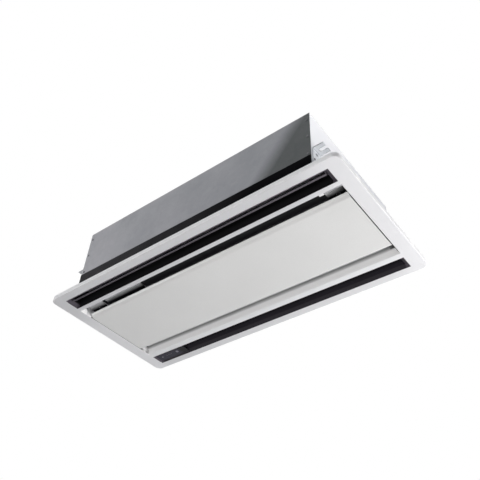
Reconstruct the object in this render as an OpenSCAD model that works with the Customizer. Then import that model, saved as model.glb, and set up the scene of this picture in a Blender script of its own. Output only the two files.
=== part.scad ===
// Two-way ceiling cassette air conditioner.
// The origin is the middle of the ceiling opening, at the underside of the ceiling.
// X runs along the unit, Y runs from one outlet to the other, and Z points up into the ceiling void.

/* [Body] */
// Length of the steel body, along X
body_l = 1180; // [1120:5:1300]
// Width of the steel body, along Y
body_w = 600; // [580:5:660]
// Height of the steel body
body_h = 345; // [335:5:400]
// How far the body's lower rim reaches below the ceiling
body_dip = 11; // [6:0.5:13]
// Thickness of the galvanised sheet
sheet = 1.5; // [1:0.1:2]
// Thickness of the foam liner in the outlet ducts
liner_t = 12.5; // [10:0.5:16]
// Thickness of the black foam band on each long side
band_t = 3; // [2:0.5:6]
// Height of the foam band's upper edge above the ceiling
band_top = 96; // [80:1:120]

/* [Decoration panel] */
// How far the panel hangs below the ceiling
panel_t = 20; // [18:0.5:26]
// How far the panel runs past each end of the body
panel_past_end = 117.5; // [110:0.5:140]
// How far the panel runs past each side of the body
panel_past_side = 40; // [38:0.5:60]
// Radius of the panel's corners in plan
panel_corner_r = 28; // [10:1:36]
// Wall of the moulded panel
panel_wall = 3; // [2.5:0.1:3.5]
// Strip between the panel's long edge and an outlet slot
rim_strip = 37; // [34:0.5:39]
// Width of an outlet slot
slot_w = 64; // [60:0.5:68]
// Bar between an outlet slot and the intake opening
bar_w = 28; // [24:0.5:32]
// Strip at each end of the slots and of the intake opening
end_strip = 57; // [50:0.5:62]
// Depth of the tray that the intake panel closes
tray_h = 39; // [36:0.5:41]
// How far the tray's long walls curve inward on their way up
cove_w = 23; // [18:0.5:26]
// Closed zone at each end of the tray
end_zone = 85.5; // [82:0.5:92]

/* [Outlets] */
// Wall of the outlet frames
frame_wall = 2.5; // [2:0.1:3]
// Width of the bevel along the outlet's outer edge
bevel_w = 14.7; // [13:0.1:16]
// Height of that bevel
bevel_h = 12; // [10:0.5:14]
// Width of the bevel at each end of the outlet
end_bevel_w = 16.5; // [14:0.5:19]
// Height of the outlet frames above the panel's face
outlet_h = 62; // [60:0.5:66]
// Length of the receiver bay at the left end of the far outlet
receiver_l = 182; // [150:1:220]

/* [Vanes] */
// Radius of a vane's pivot pin
vane_pin_r = 3; // [2.5:0.1:3.2]
// Thickness of a vane
vane_t = 2.4; // [1.8:0.1:3]
// How far a vane bows out of its chord
vane_bow = 5; // [3:0.5:5.5]
// How far the vanes stand open from flush with the panel
vane_open = 51.6; // [40:0.1:60]
// Height of the vane's pivot above the panel's face
vane_pivot_h = 17; // [16.5:0.1:17.5]

/* [Intake panel] */
// How far the intake panel's long edges stand in from the body's sides
lid_in = 138; // [135:0.5:145]
// Gap at each end of the intake panel
lid_gap = 3; // [2:0.5:5]
// Radius of the rolled long edges
lid_roll = 18; // [14:0.5:19]
// Wall of the intake panel
lid_wall = 2.5; // [2:0.1:3]
// Radius of the hinge pins
hinge_pin_r = 3; // [2:0.1:3.5]
// Distance of the hinge from the intake panel's far edge
hinge_in = 12; // [10:0.5:16]
// Height of the hinge above the panel's face
hinge_h = 16; // [14:0.5:17]
// Travel of a latch bolt
latch_travel = 8; // [5:0.5:10]

/* [Filter] */
// Thickness of the filter frame
filter_t = 9; // [6:0.5:10]
// How far the filter's long edges stand in from the intake panel's
filter_in = 12; // [8:1:18]
// Travel of the filter along its rails
filter_travel = 25; // [10:1:30]
// Width of a bar of the filter frame
filter_bar = 10; // [8:0.5:14]
// Spacing of the filter's mesh ribs
mesh_pitch = 44; // [30:1:80]

/* [Service bay] */
// Length of the white service cover
service_l = 214; // [190:1:230]
// Distance of the service cover from the left end of the intake
service_in = 13; // [8:0.5:20]
// Thickness of the service cover
service_t = 2; // [1.5:0.1:3]

/* [Fans] */
// Distance between the fans' shafts
fan_pitch = 480; // [400:5:520]
// Distance of the fans' middle point from the body's middle
fan_shift = 30; // [10:1:40]
// Outer radius of a fan wheel
fan_r = 160; // [140:1:170]
// Radius of a fan wheel's inlet
fan_inlet_r = 112; // [100:1:118]
// Height above the fan wheels that their motors take
fan_head = 83; // [74:1:95]
// Number of blades on a wheel
blade_count = 7; // [5:1:9]
// Thickness of a blade
blade_t = 3; // [2:0.1:5]
// Radius of a fan shaft
shaft_r = 4; // [3:0.5:6]
// Radius of a fan motor
motor_r = 60; // [50:1:70]
// Height of a fan motor
motor_h = 36; // [30:1:42]

/* [Heat exchanger] */
// Depth of the coil, along the airflow
coil_t = 40; // [36:0.5:44]
// Gap between the coils and the body's top
coil_head = 24; // [18:1:40]
// Length of the finned part of a coil
coil_l = 960; // [900:5:980]
// Outer radius of the coil's tubes
coil_tube_r = 4.75; // [3.5:0.05:5]
// Height between two rows of tubes
coil_tube_pitch = 30; // [26:0.5:40]
// Radius of the gas pipe (15.88 mm across)
gas_pipe_r = 7.94; // [6:0.01:9.5]
// Radius of the liquid pipe (9.52 mm across)
liquid_pipe_r = 4.76; // [3:0.01:6.5]
// How far the pipes stand out of the left end
pipe_out = 60; // [45:1:90]

/* [Drain] */
// Height of the drain pan
pan_h = 28; // [24:0.5:32]
// Wall of the drain pan
pan_wall = 3; // [2.5:0.1:4]
// Depth of the drain pan's trough
pan_deep = 18; // [14:0.5:22]
// Outer radius of the drain outlet (25 mm hose)
drain_r = 12.5; // [10:0.5:16]
// Radius of the drain pump
pump_r = 24; // [20:0.5:27]
// Height of the drain pump
pump_h = 60; // [50:1:90]

/* [Hanging] */
// Half the width of a hanger slot
hanger_slot_r = 7; // [5.5:0.1:8]
// Distance of the hanger slots' middle from the body's side
hanger_in = 34; // [30:0.5:45]
// How far a hanger bracket stands out of the body's end
hanger_out = 45; // [40:0.5:60]
// Height of the hanger bracket above the ceiling
hanger_z = 140; // [120:1:170]
// Plate of the hanger brackets
hanger_t = 3; // [2:0.1:4]

/* [Wiring] */
// Radius of the cable inlet's bore
cable_r = 9; // [7:0.5:11]

/* [Hidden] */

$fn = 48;
fit = 0.05; // clearance of a pin in its bore
slip = 0.3; // clearance between two pieces that move
seat = 0.2; // clearance round a piece that is set into another
cut = 1; // overrun of every cut

// Levels, from the panel's face up
face_z = -panel_t;
skin_z = face_z + panel_wall;
tray_z = face_z + tray_h;
tray_top_z = tray_z + panel_wall;
outlet_top_z = face_z + outlet_h;
body_z0 = -body_dip;
body_z1 = body_z0 + body_h;
notch_gap = 2;
notch_z = outlet_top_z + notch_gap;
pan_z0 = notch_z;
pan_z1 = pan_z0 + pan_h;
deck_rise = 11;
deck_z = pan_z1 + deck_rise;
deck_t = 2;
deck_top_z = deck_z + deck_t;

// Half sizes in plan
body_x = body_l / 2;
body_y = body_w / 2;
inner_x = body_x - sheet;
inner_y = body_y - sheet;
panel_x = body_x + panel_past_end;
panel_y = body_y + panel_past_side;
slot_out_y = panel_y - rim_strip;
slot_in_y = slot_out_y - slot_w;
open_y = slot_in_y - bar_w;
slot_x = panel_x - end_strip;
cove_y = open_y - cove_w;
intake_x = slot_x - end_zone;
throat_y = slot_out_y - bevel_w;
throat_in_y = slot_in_y + seat + frame_wall;
throat_x = slot_x - end_bevel_w;
liner_y = inner_y - liner_t;
pan_in_y = cove_y;
pan_out_y = slot_in_y - seat;
pan_in_x = intake_x;
pan_out_x = inner_x;

// Coils stand in the troughs of the drain pan
coil_out_gap = 4;
coil_y1 = pan_out_y - pan_wall - coil_out_gap;
coil_y0 = coil_y1 - coil_t;
coil_y = (coil_y0 + coil_y1) / 2;
trough_z = pan_z1 - pan_deep;
coil_foot = 6;
coil_z0 = trough_z + coil_foot;
coil_z1 = body_z1 - coil_head;
coil_h = coil_z1 - coil_z0;
coil_shift = 17.5;
coil_x0 = coil_shift - coil_l / 2;
coil_x1 = coil_shift + coil_l / 2;
end_plate_t = 2;
tube_row = coil_t / 4;
tube_edge = 20;
tube_count = floor((coil_h - 2 * tube_edge) / coil_tube_pitch) + 1;
tube_span = (tube_count - 1) * coil_tube_pitch;
tube_z0 = coil_z0 + (coil_h - tube_span) / 2;

// Fans
fan_xs = [fan_shift - fan_pitch / 2, fan_shift + fan_pitch / 2];
bell_h = 22;
bell_wall = 2;
bell_flange = 12;
bell_lip_r = 10;
bell_gap = 3;
bell_r = fan_inlet_r - bell_gap - bell_wall;
bell_in = 6;
fan_z0 = deck_top_z + bell_h - bell_in;
fan_z1 = body_z1 - fan_head;
wheel_t = 2;
shroud_h = 30;
hub_r = 18;
hub_h = 30;
motor_gap = 8;
motor_z0 = fan_z1 + wheel_t + motor_gap;
motor_z1 = motor_z0 + motor_h;

module block(x0, x1, y0, y1, z0, z1) {
  translate([x0, y0, z0]) cube([x1 - x0, y1 - y0, z1 - z0]);
}

module rod_x(x0, x1, y, z, r) {
  translate([x0, y, z]) rotate([0, 90, 0]) cylinder(h = x1 - x0, r = r);
}

module rod_y(x, y0, y1, z, r) {
  translate([x, y0, z]) rotate([-90, 0, 0]) cylinder(h = y1 - y0, r = r);
}

module rod_z(x, y, z0, z1, r) {
  translate([x, y, z0]) cylinder(h = z1 - z0, r = r);
}

// Extrudes a profile drawn in (y, z) along X
module along_x(x0, x1) {
  translate([x0, 0, 0]) rotate([90, 0, 90]) linear_extrude(x1 - x0) children();
}

// Extrudes a profile drawn in (x, z) along Y
module along_y(y0, y1) {
  translate([0, y1, 0]) rotate([90, 0, 0]) linear_extrude(y1 - y0) children();
}

module both_sides() {
  children();
  mirror([0, 1, 0]) children();
}

module both_ends() {
  children();
  mirror([1, 0, 0]) children();
}

module four_corners() {
  both_ends() both_sides() children();
}

// Rectangle with round corners, as half sizes
module round_rect(hx, hy, r) {
  square([2 * hx, 2 * (hy - r)], center = true);
  square([2 * (hx - r), 2 * hy], center = true);
  for (sx = [-1, 1], sy = [-1, 1]) translate([sx * (hx - r), sy * (hy - r)]) circle(r);
}

module round_slab(hx, hy, r, z0, z1) {
  translate([0, 0, z0]) linear_extrude(z1 - z0) round_rect(hx, hy, r);
}

// Body: five galvanised sheets, screwed along their edges

screw_r = 2;
screw_hole_r = screw_r + seat;
screw_head_r = 4.5;
screw_head_h = 2.4;
screw_len = 8;
screw_in = 12;
flange_w = 16;
end_screw_z0 = band_top + 3 * screw_head_r;
end_screw_z1 = body_z1 - 3 * screw_in;
end_screw_zs = [end_screw_z0, (end_screw_z0 + end_screw_z1) / 2, end_screw_z1];
top_screw_share = [-0.92, -0.46, 0, 0.46, 0.92];

module top_screw_places() {
  for (s = top_screw_share) translate([s * inner_x, body_y - screw_in, 0]) children();
}

module side_screw_places() {
  for (z = end_screw_zs) translate([body_x - screw_in, 0, z]) children();
}

module top_plate() {
  color("#b9bcc0") difference() {
    block(-body_x, body_x, -body_y, body_y, body_z1 - sheet, body_z1);
    both_sides() top_screw_places() rod_z(0, 0, body_z1 - sheet - cut, body_z1 + cut, screw_hole_r);
    for (x = fan_xs) for (a = [0, 120, 240]) translate([x, 0, 0]) rotate(a)
      rod_z(bracket_hole_r, 0, body_z1 - sheet - cut, body_z1 + cut, screw_hole_r);
  }
}

// A long side with a flange along its top and a flange at each end
module side_panel() {
  z1 = body_z1 - sheet;
  difference() {
    union() {
      block(-body_x, body_x, inner_y, body_y, body_z0, z1);
      block(-inner_x + sheet, inner_x - sheet, body_y - flange_w, inner_y, z1 - sheet, z1);
    }
    top_screw_places() rod_z(0, 0, z1 - sheet - cut, z1 + cut, screw_hole_r);
    both_ends() side_screw_places() rod_y(0, inner_y - cut, body_y + cut, 0, screw_hole_r);
  }
}

module near_side_panel() {
  color("#7f8489") mirror([0, 1, 0]) side_panel();
}

module far_side_panel() {
  color("#7f8489") side_panel();
}

// An end with its bottom notched over the outlets and the tray, and a flange at each side
module end_panel() {
  z1 = body_z1 - sheet;
  leg_y = throat_y + frame_wall + 2 * seat;
  difference() {
    union() {
      block(inner_x, body_x, -inner_y, inner_y, face_z + bevel_h + seat, z1);
      both_sides() block(body_x - flange_w, inner_x, inner_y - sheet, inner_y, notch_z, z1 - 2 * sheet);
    }
    block(inner_x - cut, body_x + cut, -leg_y, leg_y, body_z0 - cut, notch_z);
    both_sides() side_screw_places() rod_y(0, inner_y - sheet - cut, inner_y + cut, 0, screw_hole_r);
    hanger_screw_places() rod_x(-hanger_t - screw_len, hanger_t, 0, 0, screw_hole_r);
    panel_bracket_screw_places() rod_x(-hanger_t - screw_len, hanger_t, 0, 0, screw_hole_r);
  }
}

module left_end_panel() {
  color("#d5d7df") difference() {
    mirror([1, 0, 0]) end_panel();
    rod_x(-body_x - cut, -inner_x + cut, gas_y, gas_z, gas_pipe_r + pipe_gap);
    rod_x(-body_x - cut, -inner_x + cut, liquid_y, liquid_z, liquid_pipe_r + pipe_gap);
    rod_x(-body_x - cut, -inner_x + cut, drain_y, drain_z, drain_r + pipe_gap);
    rod_x(-body_x - cut, -inner_x + cut, gland_y, gland_z, gland_r + seat);
  }
}

module right_end_panel() {
  color("#d5d7df") end_panel();
}

// Foam band outside each long side, from just above the ceiling
band_lift = 1;

module foam_band() {
  z1 = band_top;
  block(-body_x, body_x, body_y, body_y + band_t, band_lift, z1);
}

module near_foam_band() {
  color("#26242a") mirror([0, 1, 0]) foam_band();
}

module far_foam_band() {
  color("#26242a") foam_band();
}

// Moulded liner of an outlet duct: thin beside the outlet frame, thick above it
module liner() {
  thin_y = throat_y + frame_wall + seat;
  low_z = face_z + bevel_h + seat;
  top_z = body_z1 - 2 * sheet - screw_len;
  x = inner_x - flange_w;
  along_x(-x, x) polygon([
    [thin_y, low_z], [inner_y, low_z], [inner_y, top_z],
    [liner_y, top_z], [liner_y, outlet_top_z], [thin_y, outlet_top_z]
  ]);
}

module near_liner() {
  color("#3a3a3e") mirror([0, 1, 0]) liner();
}

module far_liner() {
  color("#3a3a3e") liner();
}

// Hanger brackets: an open fork on a plate at each corner of the two ends
hanger_y = body_y - hanger_in;
hanger_half_w = 25;
hanger_drop = 70;
hanger_root = 21;
hanger_screw_y = 17;
hanger_screw_z = 14;
hanger_hole_r = 5;
hanger_hole_drop = 12;

module hanger_screw_places() {
  both_sides() for (s = [-1, 1])
    translate([body_x, hanger_y + s * hanger_screw_y, hanger_z - hanger_drop + hanger_screw_z]) children();
}

module hanger_bracket() {
  x1 = body_x + hanger_out;
  root_x = body_x + hanger_root;
  difference() {
    union() {
      block(body_x, body_x + hanger_t, hanger_y - hanger_half_w, hanger_y + hanger_half_w,
        hanger_z - hanger_drop, hanger_z + hanger_t);
      block(body_x, x1, hanger_y - hanger_half_w, hanger_y + hanger_half_w, hanger_z, hanger_z + hanger_t);
    }
    rod_z(root_x, hanger_y, hanger_z - cut, hanger_z + hanger_t + cut, hanger_slot_r);
    block(root_x, x1 + cut, hanger_y - hanger_slot_r, hanger_y + hanger_slot_r,
      hanger_z - cut, hanger_z + hanger_t + cut);
    rod_x(body_x - cut, body_x + hanger_t + cut, hanger_y, hanger_z - hanger_hole_drop - hanger_hole_r,
      hanger_hole_r);
    for (s = [-1, 1])
      rod_x(body_x - cut, body_x + hanger_t + cut, hanger_y + s * hanger_screw_y,
        hanger_z - hanger_drop + hanger_screw_z, screw_hole_r);
  }
}

module hanger_brackets() {
  color("#c9ccd2") four_corners() hanger_bracket();
}

// A pan-head screw whose head rests at zero, pointing down
module screw() {
  translate([0, 0, -screw_len]) cylinder(h = screw_len, r = screw_r);
  cylinder(h = screw_head_h, r = screw_head_r);
}

module cabinet_screws() {
  color("#9a9da2") {
    both_sides() top_screw_places() translate([0, 0, body_z1]) screw();
    four_corners() side_screw_places() translate([0, body_y, 0]) rotate([-90, 0, 0]) screw();
    both_ends() hanger_screw_places() translate([hanger_t, 0, 0]) rotate([0, 90, 0]) screw();
    both_ends() panel_bracket_screw_places() translate([hanger_t, 0, 0]) rotate([0, 90, 0]) screw();
    for (x = fan_xs) for (a = [0, 120, 240]) translate([x, 0, 0]) rotate(a)
      translate([bracket_hole_r, 0, body_z1]) screw();
  }
}

// Decoration panel: a moulded shell with two slots and a tray for the intake panel

cove_steps = 12;

// The tray's long wall in (y, z): a cove from the opening's edge up to the tray's ceiling
module cove_profile() {
  inner = [for (i = [0:cove_steps]) let (a = 90 * i / cove_steps)
    [cove_y + cove_w * cos(a), face_z + tray_h * sin(a)]];
  outer = [for (i = [cove_steps:-1:0]) let (a = 90 * i / cove_steps)
    [cove_y + (cove_w + panel_wall) * cos(a), face_z + (tray_h + panel_wall) * sin(a)]];
  polygon(concat(inner, outer));
}

panel_screw_x = body_x + 14;
panel_screw_y = 150;

module panel_frame() {
  inner_r = panel_corner_r - panel_wall;
  color("#e6e6ea") difference() {
    union() {
      difference() {
        round_slab(panel_x, panel_y, panel_corner_r, face_z, 0);
        round_slab(panel_x - panel_wall, panel_y - panel_wall, inner_r, skin_z, cut);
        both_sides() block(-slot_x, slot_x, slot_in_y, slot_out_y, face_z - cut, skin_z + cut);
        block(-slot_x, slot_x, -open_y, open_y, face_z - cut, skin_z + cut);
      }
      both_sides() along_x(-slot_x - panel_wall, slot_x + panel_wall) cove_profile();
      both_ends() block(slot_x, slot_x + panel_wall, -open_y, open_y, face_z, tray_top_z);
      both_ends() block(intake_x, slot_x + panel_wall, -cove_y, cove_y, tray_z, tray_top_z);
    }
    both_ends() rod_x(slot_x - cut, slot_x + panel_wall + cut, hinge_y, face_z + hinge_h, hinge_pin_r);
    both_ends() block(slot_x - cut, slot_x + panel_wall + cut, latch_y - latch_w / 2 - slip,
      latch_y + latch_w / 2 + slip, latch_z - latch_h / 2 - slip, latch_z + latch_h / 2 + slip);
    four_corners() rod_z(panel_screw_x, panel_screw_y, tray_z - cut, tray_top_z + cut, panel_screw_r + seat);
  }
}

// Brackets on the ends of the body that take the panel's screws
panel_screw_r = 3;
panel_screw_head_r = 7;
panel_screw_head_h = 4;
panel_bracket_w = 30;
panel_bracket_out = 28;
panel_bracket_screw_z = pan_h + 6 + screw_r;
panel_bracket_h = panel_bracket_screw_z + 2 * screw_head_r;

module panel_bracket_screw_places() {
  both_sides() translate([body_x, panel_screw_y, notch_z + panel_bracket_screw_z]) children();
}

module panel_bracket() {
  y0 = panel_screw_y - panel_bracket_w / 2;
  y1 = panel_screw_y + panel_bracket_w / 2;
  difference() {
    union() {
      block(body_x, body_x + hanger_t, y0, y1, notch_z, notch_z + panel_bracket_h);
      block(body_x, body_x + panel_bracket_out, y0, y1, notch_z, notch_z + hanger_t);
    }
    rod_z(panel_screw_x, panel_screw_y, notch_z - cut, notch_z + hanger_t + cut, panel_screw_r + seat);
    rod_x(body_x - cut, body_x + hanger_t + cut, panel_screw_y, notch_z + panel_bracket_screw_z,
      screw_hole_r);
  }
}

module panel_brackets() {
  color("#c9ccd2") four_corners() panel_bracket();
}

module panel_screws() {
  nut_h = 4;
  nut_r = 5.5;
  tail = 3;
  color("#a9acb0") four_corners() translate([panel_screw_x, panel_screw_y, 0]) {
    rod_z(0, 0, tray_z - panel_screw_head_h, tray_z, panel_screw_head_r);
    rod_z(0, 0, tray_z, notch_z + hanger_t + nut_h + tail, panel_screw_r);
    translate([0, 0, notch_z + hanger_t]) cylinder(h = nut_h, r = nut_r, $fn = 6);
  }
}

// Outlet frames: dark ducts with a bevelled surround, set into the panel's slots

vane_boss_r = 4;
vane_boss_gap = 0.8;
vane_y = throat_y - vane_boss_r - vane_boss_gap;
vane_z = face_z + vane_pivot_h;
bush_r = 4.4;
bush_past = 1;
cap_l = 40;
bay_x = -slot_x + receiver_l;
divider_t = 3;

// One long outlet frame on the +Y side, with its ends at x0 and x1
module outlet_frame() {
  x = slot_x - seat;
  out_y = slot_out_y - seat;
  in_y = slot_in_y + seat;
  bevel_z = face_z + bevel_h;
  end_z = vane_z - bush_r - bush_past;
  union() {
    along_x(-x, x) polygon([
      [out_y, face_z], [out_y, skin_z], [throat_y + frame_wall, bevel_z],
      [throat_y + frame_wall, outlet_top_z], [throat_y, outlet_top_z], [throat_y, bevel_z]
    ]);
    block(-x, x, in_y, in_y + frame_wall, face_z, outlet_top_z);
    both_ends() along_y(in_y, throat_y + frame_wall) polygon([
      [x, face_z], [x, skin_z], [throat_x + frame_wall, end_z],
      [throat_x + frame_wall, outlet_top_z], [throat_x, outlet_top_z], [throat_x, end_z]
    ]);
    both_ends() block(throat_x - cap_l, throat_x, in_y, throat_y + frame_wall,
      outlet_top_z - frame_wall, outlet_top_z);
  }
}

// Space outside the end walls, where the long walls stop
module outlet_ends_cut() {
  far = 2 * end_bevel_w;
  both_ends() block(throat_x + frame_wall, throat_x + far, slot_in_y - cut, slot_out_y + cut,
    vane_z - bush_r - bush_past, outlet_top_z + cut);
}

module bush_hole(x0, x1) {
  rod_x(x0 - cut, x1 + cut, vane_y, vane_z, bush_r + fit);
}

module near_outlet_frame() {
  color("#35323a") mirror([0, 1, 0]) difference() {
    outlet_frame();
    outlet_ends_cut();
    both_ends() bush_hole(throat_x, throat_x + frame_wall);
  }
}

module far_outlet_frame() {
  color("#35323a") difference() {
    union() {
      outlet_frame();
      block(bay_x, bay_x + divider_t, slot_in_y + seat, throat_y + frame_wall, face_z + bevel_h,
        outlet_top_z);
      block(-throat_x, bay_x + divider_t, slot_in_y + seat, throat_y + frame_wall,
        outlet_top_z - frame_wall, outlet_top_z);
    }
    outlet_ends_cut();
    bush_hole(throat_x, throat_x + frame_wall);
    bush_hole(bay_x, bay_x + divider_t);
  }
}

module bush(x, wall) {
  difference() {
    rod_x(x - bush_past, x + wall + bush_past, vane_y, vane_z, bush_r);
    rod_x(x - bush_past - cut, x + wall + bush_past + cut, vane_y, vane_z, vane_pin_r + fit);
  }
}

module vane_bushes() {
  color("#d8d8d4") {
    both_ends() mirror([0, 1, 0]) bush(throat_x, frame_wall);
    bush(throat_x, frame_wall);
    mirror([1, 0, 0]) bush(-bay_x - divider_t, divider_t);
  }
}

// Vanes: a bowed blade with an ear and a pin at each end, drawn closed and turned to its rest pose

vane_in_gap = 1.8;
vane_out_gap = 2;
vane_h = 8;
vane_end_gap = 3;
vane_ear_t = 3;
vane_steps = 10;
vane_chord_y0 = throat_in_y + vane_in_gap;
vane_chord_y1 = slot_out_y - bevel_w * vane_h / bevel_h - vane_out_gap;
vane_chord = vane_chord_y1 - vane_chord_y0;

// Bow of the blade at a share of its chord
function bow(s) = vane_bow * (1 - pow(2 * s - 1, 2));

module vane_profile() {
  low = [for (i = [0:vane_steps]) let (s = i / vane_steps)
    [vane_chord_y0 + s * vane_chord, face_z + vane_h - bow(s)]];
  high = [for (i = [vane_steps:-1:0]) let (s = i / vane_steps)
    [vane_chord_y0 + s * vane_chord, face_z + vane_h - bow(s) + vane_t * (1 - 0.5 * abs(2 * s - 1))]];
  polygon(concat(low, high));
}

module vane_ear_profile() {
  reach = 14;
  polygon([
    [vane_y - reach, face_z + vane_h - bow(0.5) + vane_t],
    [vane_y + vane_boss_r, vane_z], [vane_y - vane_boss_r, vane_z + vane_boss_r / 2]
  ]);
  translate([vane_y, vane_z]) circle(vane_boss_r);
}

// A vane between x0 and x1 on the +Y side
module vane_closed(x0, x1, pin0, pin1) {
  along_x(x0, x1) vane_profile();
  for (x = [x0, x1 - vane_ear_t]) along_x(x, x + vane_ear_t) vane_ear_profile();
  rod_x(x0 - pin0, x0 + vane_ear_t, vane_y, vane_z, vane_pin_r);
  rod_x(x1 - vane_ear_t, x1 + pin1, vane_y, vane_z, vane_pin_r);
}

module turn_at_vane(a) {
  translate([0, vane_y, vane_z]) rotate([a, 0, 0]) translate([0, -vane_y, -vane_z]) children();
}

vane_x = throat_x - vane_end_gap;
vane_motor_boss = 5;
motor_pin = vane_end_gap + end_bevel_w + panel_wall - slip;
idle_pin = vane_end_gap + frame_wall;

module near_vane() {
  color("#2c2a31") mirror([0, 1, 0]) turn_at_vane(-vane_open)
    vane_closed(-vane_x, vane_x, idle_pin, motor_pin);
}

module far_vane() {
  color("#2c2a31") turn_at_vane(-vane_open)
    vane_closed(bay_x + divider_t + vane_end_gap, vane_x, idle_pin, motor_pin);
}

// Stepper motors that turn the vanes, outside the right end of each slot
stepper_r = 12;
stepper_l = 19;
stepper_boss_r = 5;
stepper_ear = 17.5;
stepper_ear_r = 3.5;
stepper_ear_t = 1;

module vane_motor() {
  x0 = slot_x + panel_wall;
  difference() {
    union() {
      rod_x(x0, x0 + stepper_l, vane_y, vane_z, stepper_r);
      rod_x(x0 - vane_motor_boss, x0, vane_y, vane_z, stepper_boss_r);
      block(x0, x0 + stepper_ear_t, vane_y - stepper_ear, vane_y + stepper_ear,
        vane_z - stepper_ear_r, vane_z + stepper_ear_r);
      block(x0, x0 + stepper_l, vane_y - stepper_r, vane_y + stepper_r, skin_z, vane_z);
    }
    rod_x(x0 - vane_motor_boss - cut, x0 + cut, vane_y, vane_z, vane_pin_r + fit);
  }
}

module near_vane_motor() {
  color("#c8c9cc") mirror([0, 1, 0]) vane_motor();
}

module far_vane_motor() {
  color("#c8c9cc") vane_motor();
}

// Receiver bay in the far outlet: window, board, lamps and a push-button

window_z = face_z + 4;
window_t = 2.5;
window_edge_share = 0.64;
window_x0 = -slot_x + end_bevel_w * window_edge_share;
window_x1 = bay_x;
window_y0 = throat_in_y + slip;
window_y1 = slot_out_y - bevel_w * window_edge_share;
lens_x = bay_x - receiver_l * 0.3;
lens_r = 7;
lamp_r = 1.5;
lamp_x = bay_x - receiver_l * 0.5;
lamp_pitch = 9;
lamp_count = 4;
button_x = bay_x - receiver_l * 0.8;
button_r = 4;
button_travel = 1.5;
bay_y = (window_y0 + window_y1) / 2;
board_z = window_z + 14;
board_t = 1.6;
post_r = 3;

module receiver_window() {
  color("#4a4652") difference() {
    union() {
      block(window_x0, window_x1, window_y0, window_y1, window_z, window_z + window_t);
      for (x = [button_x - 4 * post_r, lens_x + 4 * post_r]) rod_z(x, bay_y, window_z, board_z, post_r);
      block(window_x1 - window_t, window_x1, window_y0, vane_y - bush_r - bush_past, window_z, board_z);
    }
    rod_z(lens_x, bay_y, window_z - cut, window_z + window_t + cut, lens_r + seat);
    for (i = [0:lamp_count - 1]) rod_z(lamp_x - i * lamp_pitch, bay_y, window_z - cut,
      window_z + window_t + cut, lamp_r + seat);
    rod_z(button_x, bay_y, window_z - cut, window_z + window_t + cut, button_r + slip);
  }
}

module receiver_board() {
  margin = 6;
  color("#2f6b45") block(button_x - 6 * post_r, lens_x + 6 * post_r, window_y0 + margin,
    throat_y - margin, board_z, board_z + board_t);
}

module receiver_lamps() {
  color("#8f8a98") {
    rod_z(lens_x, bay_y, window_z, board_z, lens_r);
    for (i = [0:lamp_count - 1]) rod_z(lamp_x - i * lamp_pitch, bay_y, window_z, board_z, lamp_r);
  }
}

module test_button() {
  head = 1;
  color("#b8b5c0") {
    rod_z(button_x, bay_y, window_z - head, board_z - button_travel - slip, button_r);
  }
}

// Intake panel: a flat cover with rolled long edges, lugs on the hinge pins, and rails for the filter

lid_y = body_y - lid_in;
hinge_y = lid_y - hinge_in;
filter_half_w = lid_y - filter_in;
lid_x = slot_x - lid_gap;
roll_steps = 10;
lid_lip = 10;
lug_t = 6;
lug_r = 5.8;
lug_gap = 2;
rail_rise = 34;
rail_z = face_z + rail_rise;
rail_t = 3;
rail_hook = 4;
filter_z0 = rail_z;
filter_z1 = filter_z0 + filter_t;
service_gap = 8;
filter_end_gap = 7;
filter_x0 = -intake_x + service_in + service_l + service_gap;
filter_x1 = intake_x - filter_end_gap;
hinge_z = face_z + hinge_h;
latch_in = 32;
latch_y = latch_in - lid_y;
latch_w = 14;
latch_h = 6;
latch_z = face_z + 14;
latch_l = 26;
latch_past = 6;

// The cover's section in (y, z): flat, with both edges rolled up
module lid_profile() {
  c = lid_y - lid_roll;
  out_r = lid_roll;
  in_r = lid_roll - lid_wall;
  right_out = [for (i = [0:roll_steps]) let (a = -90 + 90 * i / roll_steps)
    [c + out_r * cos(a), face_z + lid_roll + out_r * sin(a)]];
  right_in = [for (i = [roll_steps:-1:0]) let (a = -90 + 90 * i / roll_steps)
    [c + in_r * cos(a), face_z + lid_roll + in_r * sin(a)]];
  left_in = [for (i = [0:roll_steps]) let (a = -90 - 90 * i / roll_steps)
    [-c + in_r * cos(a), face_z + lid_roll + in_r * sin(a)]];
  left_out = [for (i = [roll_steps:-1:0]) let (a = -90 - 90 * i / roll_steps)
    [-c + out_r * cos(a), face_z + lid_roll + out_r * sin(a)]];
  polygon(concat(right_out, right_in, left_in, left_out));
}

module intake_panel() {
  top = face_z + lid_wall;
  in_y = lid_y - lid_roll;
  lug_x1 = lid_x - lug_gap;
  lug_x0 = lug_x1 - lug_t;
  color("#dcdcdc") difference() {
    union() {
      along_x(-lid_x, lid_x) lid_profile();
      both_ends() block(lid_x - lid_wall, lid_x, -in_y, in_y, face_z, face_z + lid_lip);
      both_ends() {
        along_x(lug_x0, lug_x1) polygon([
          [hinge_y - 2 * lug_r, top - lid_wall / 2], [in_y, top - lid_wall / 2],
          [hinge_y + lug_r, hinge_z], [hinge_y - lug_r, hinge_z]
        ]);
        rod_x(lug_x0, lug_x1, hinge_y, hinge_z, lug_r);
      }
      both_ends() latch_guide();
      for (x = [filter_x0, filter_x1]) filter_rail(x);
    }
    both_ends() rod_x(lug_x0 - cut, lug_x1 + cut, hinge_y, hinge_z, hinge_pin_r + fit);
  }
}

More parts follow.
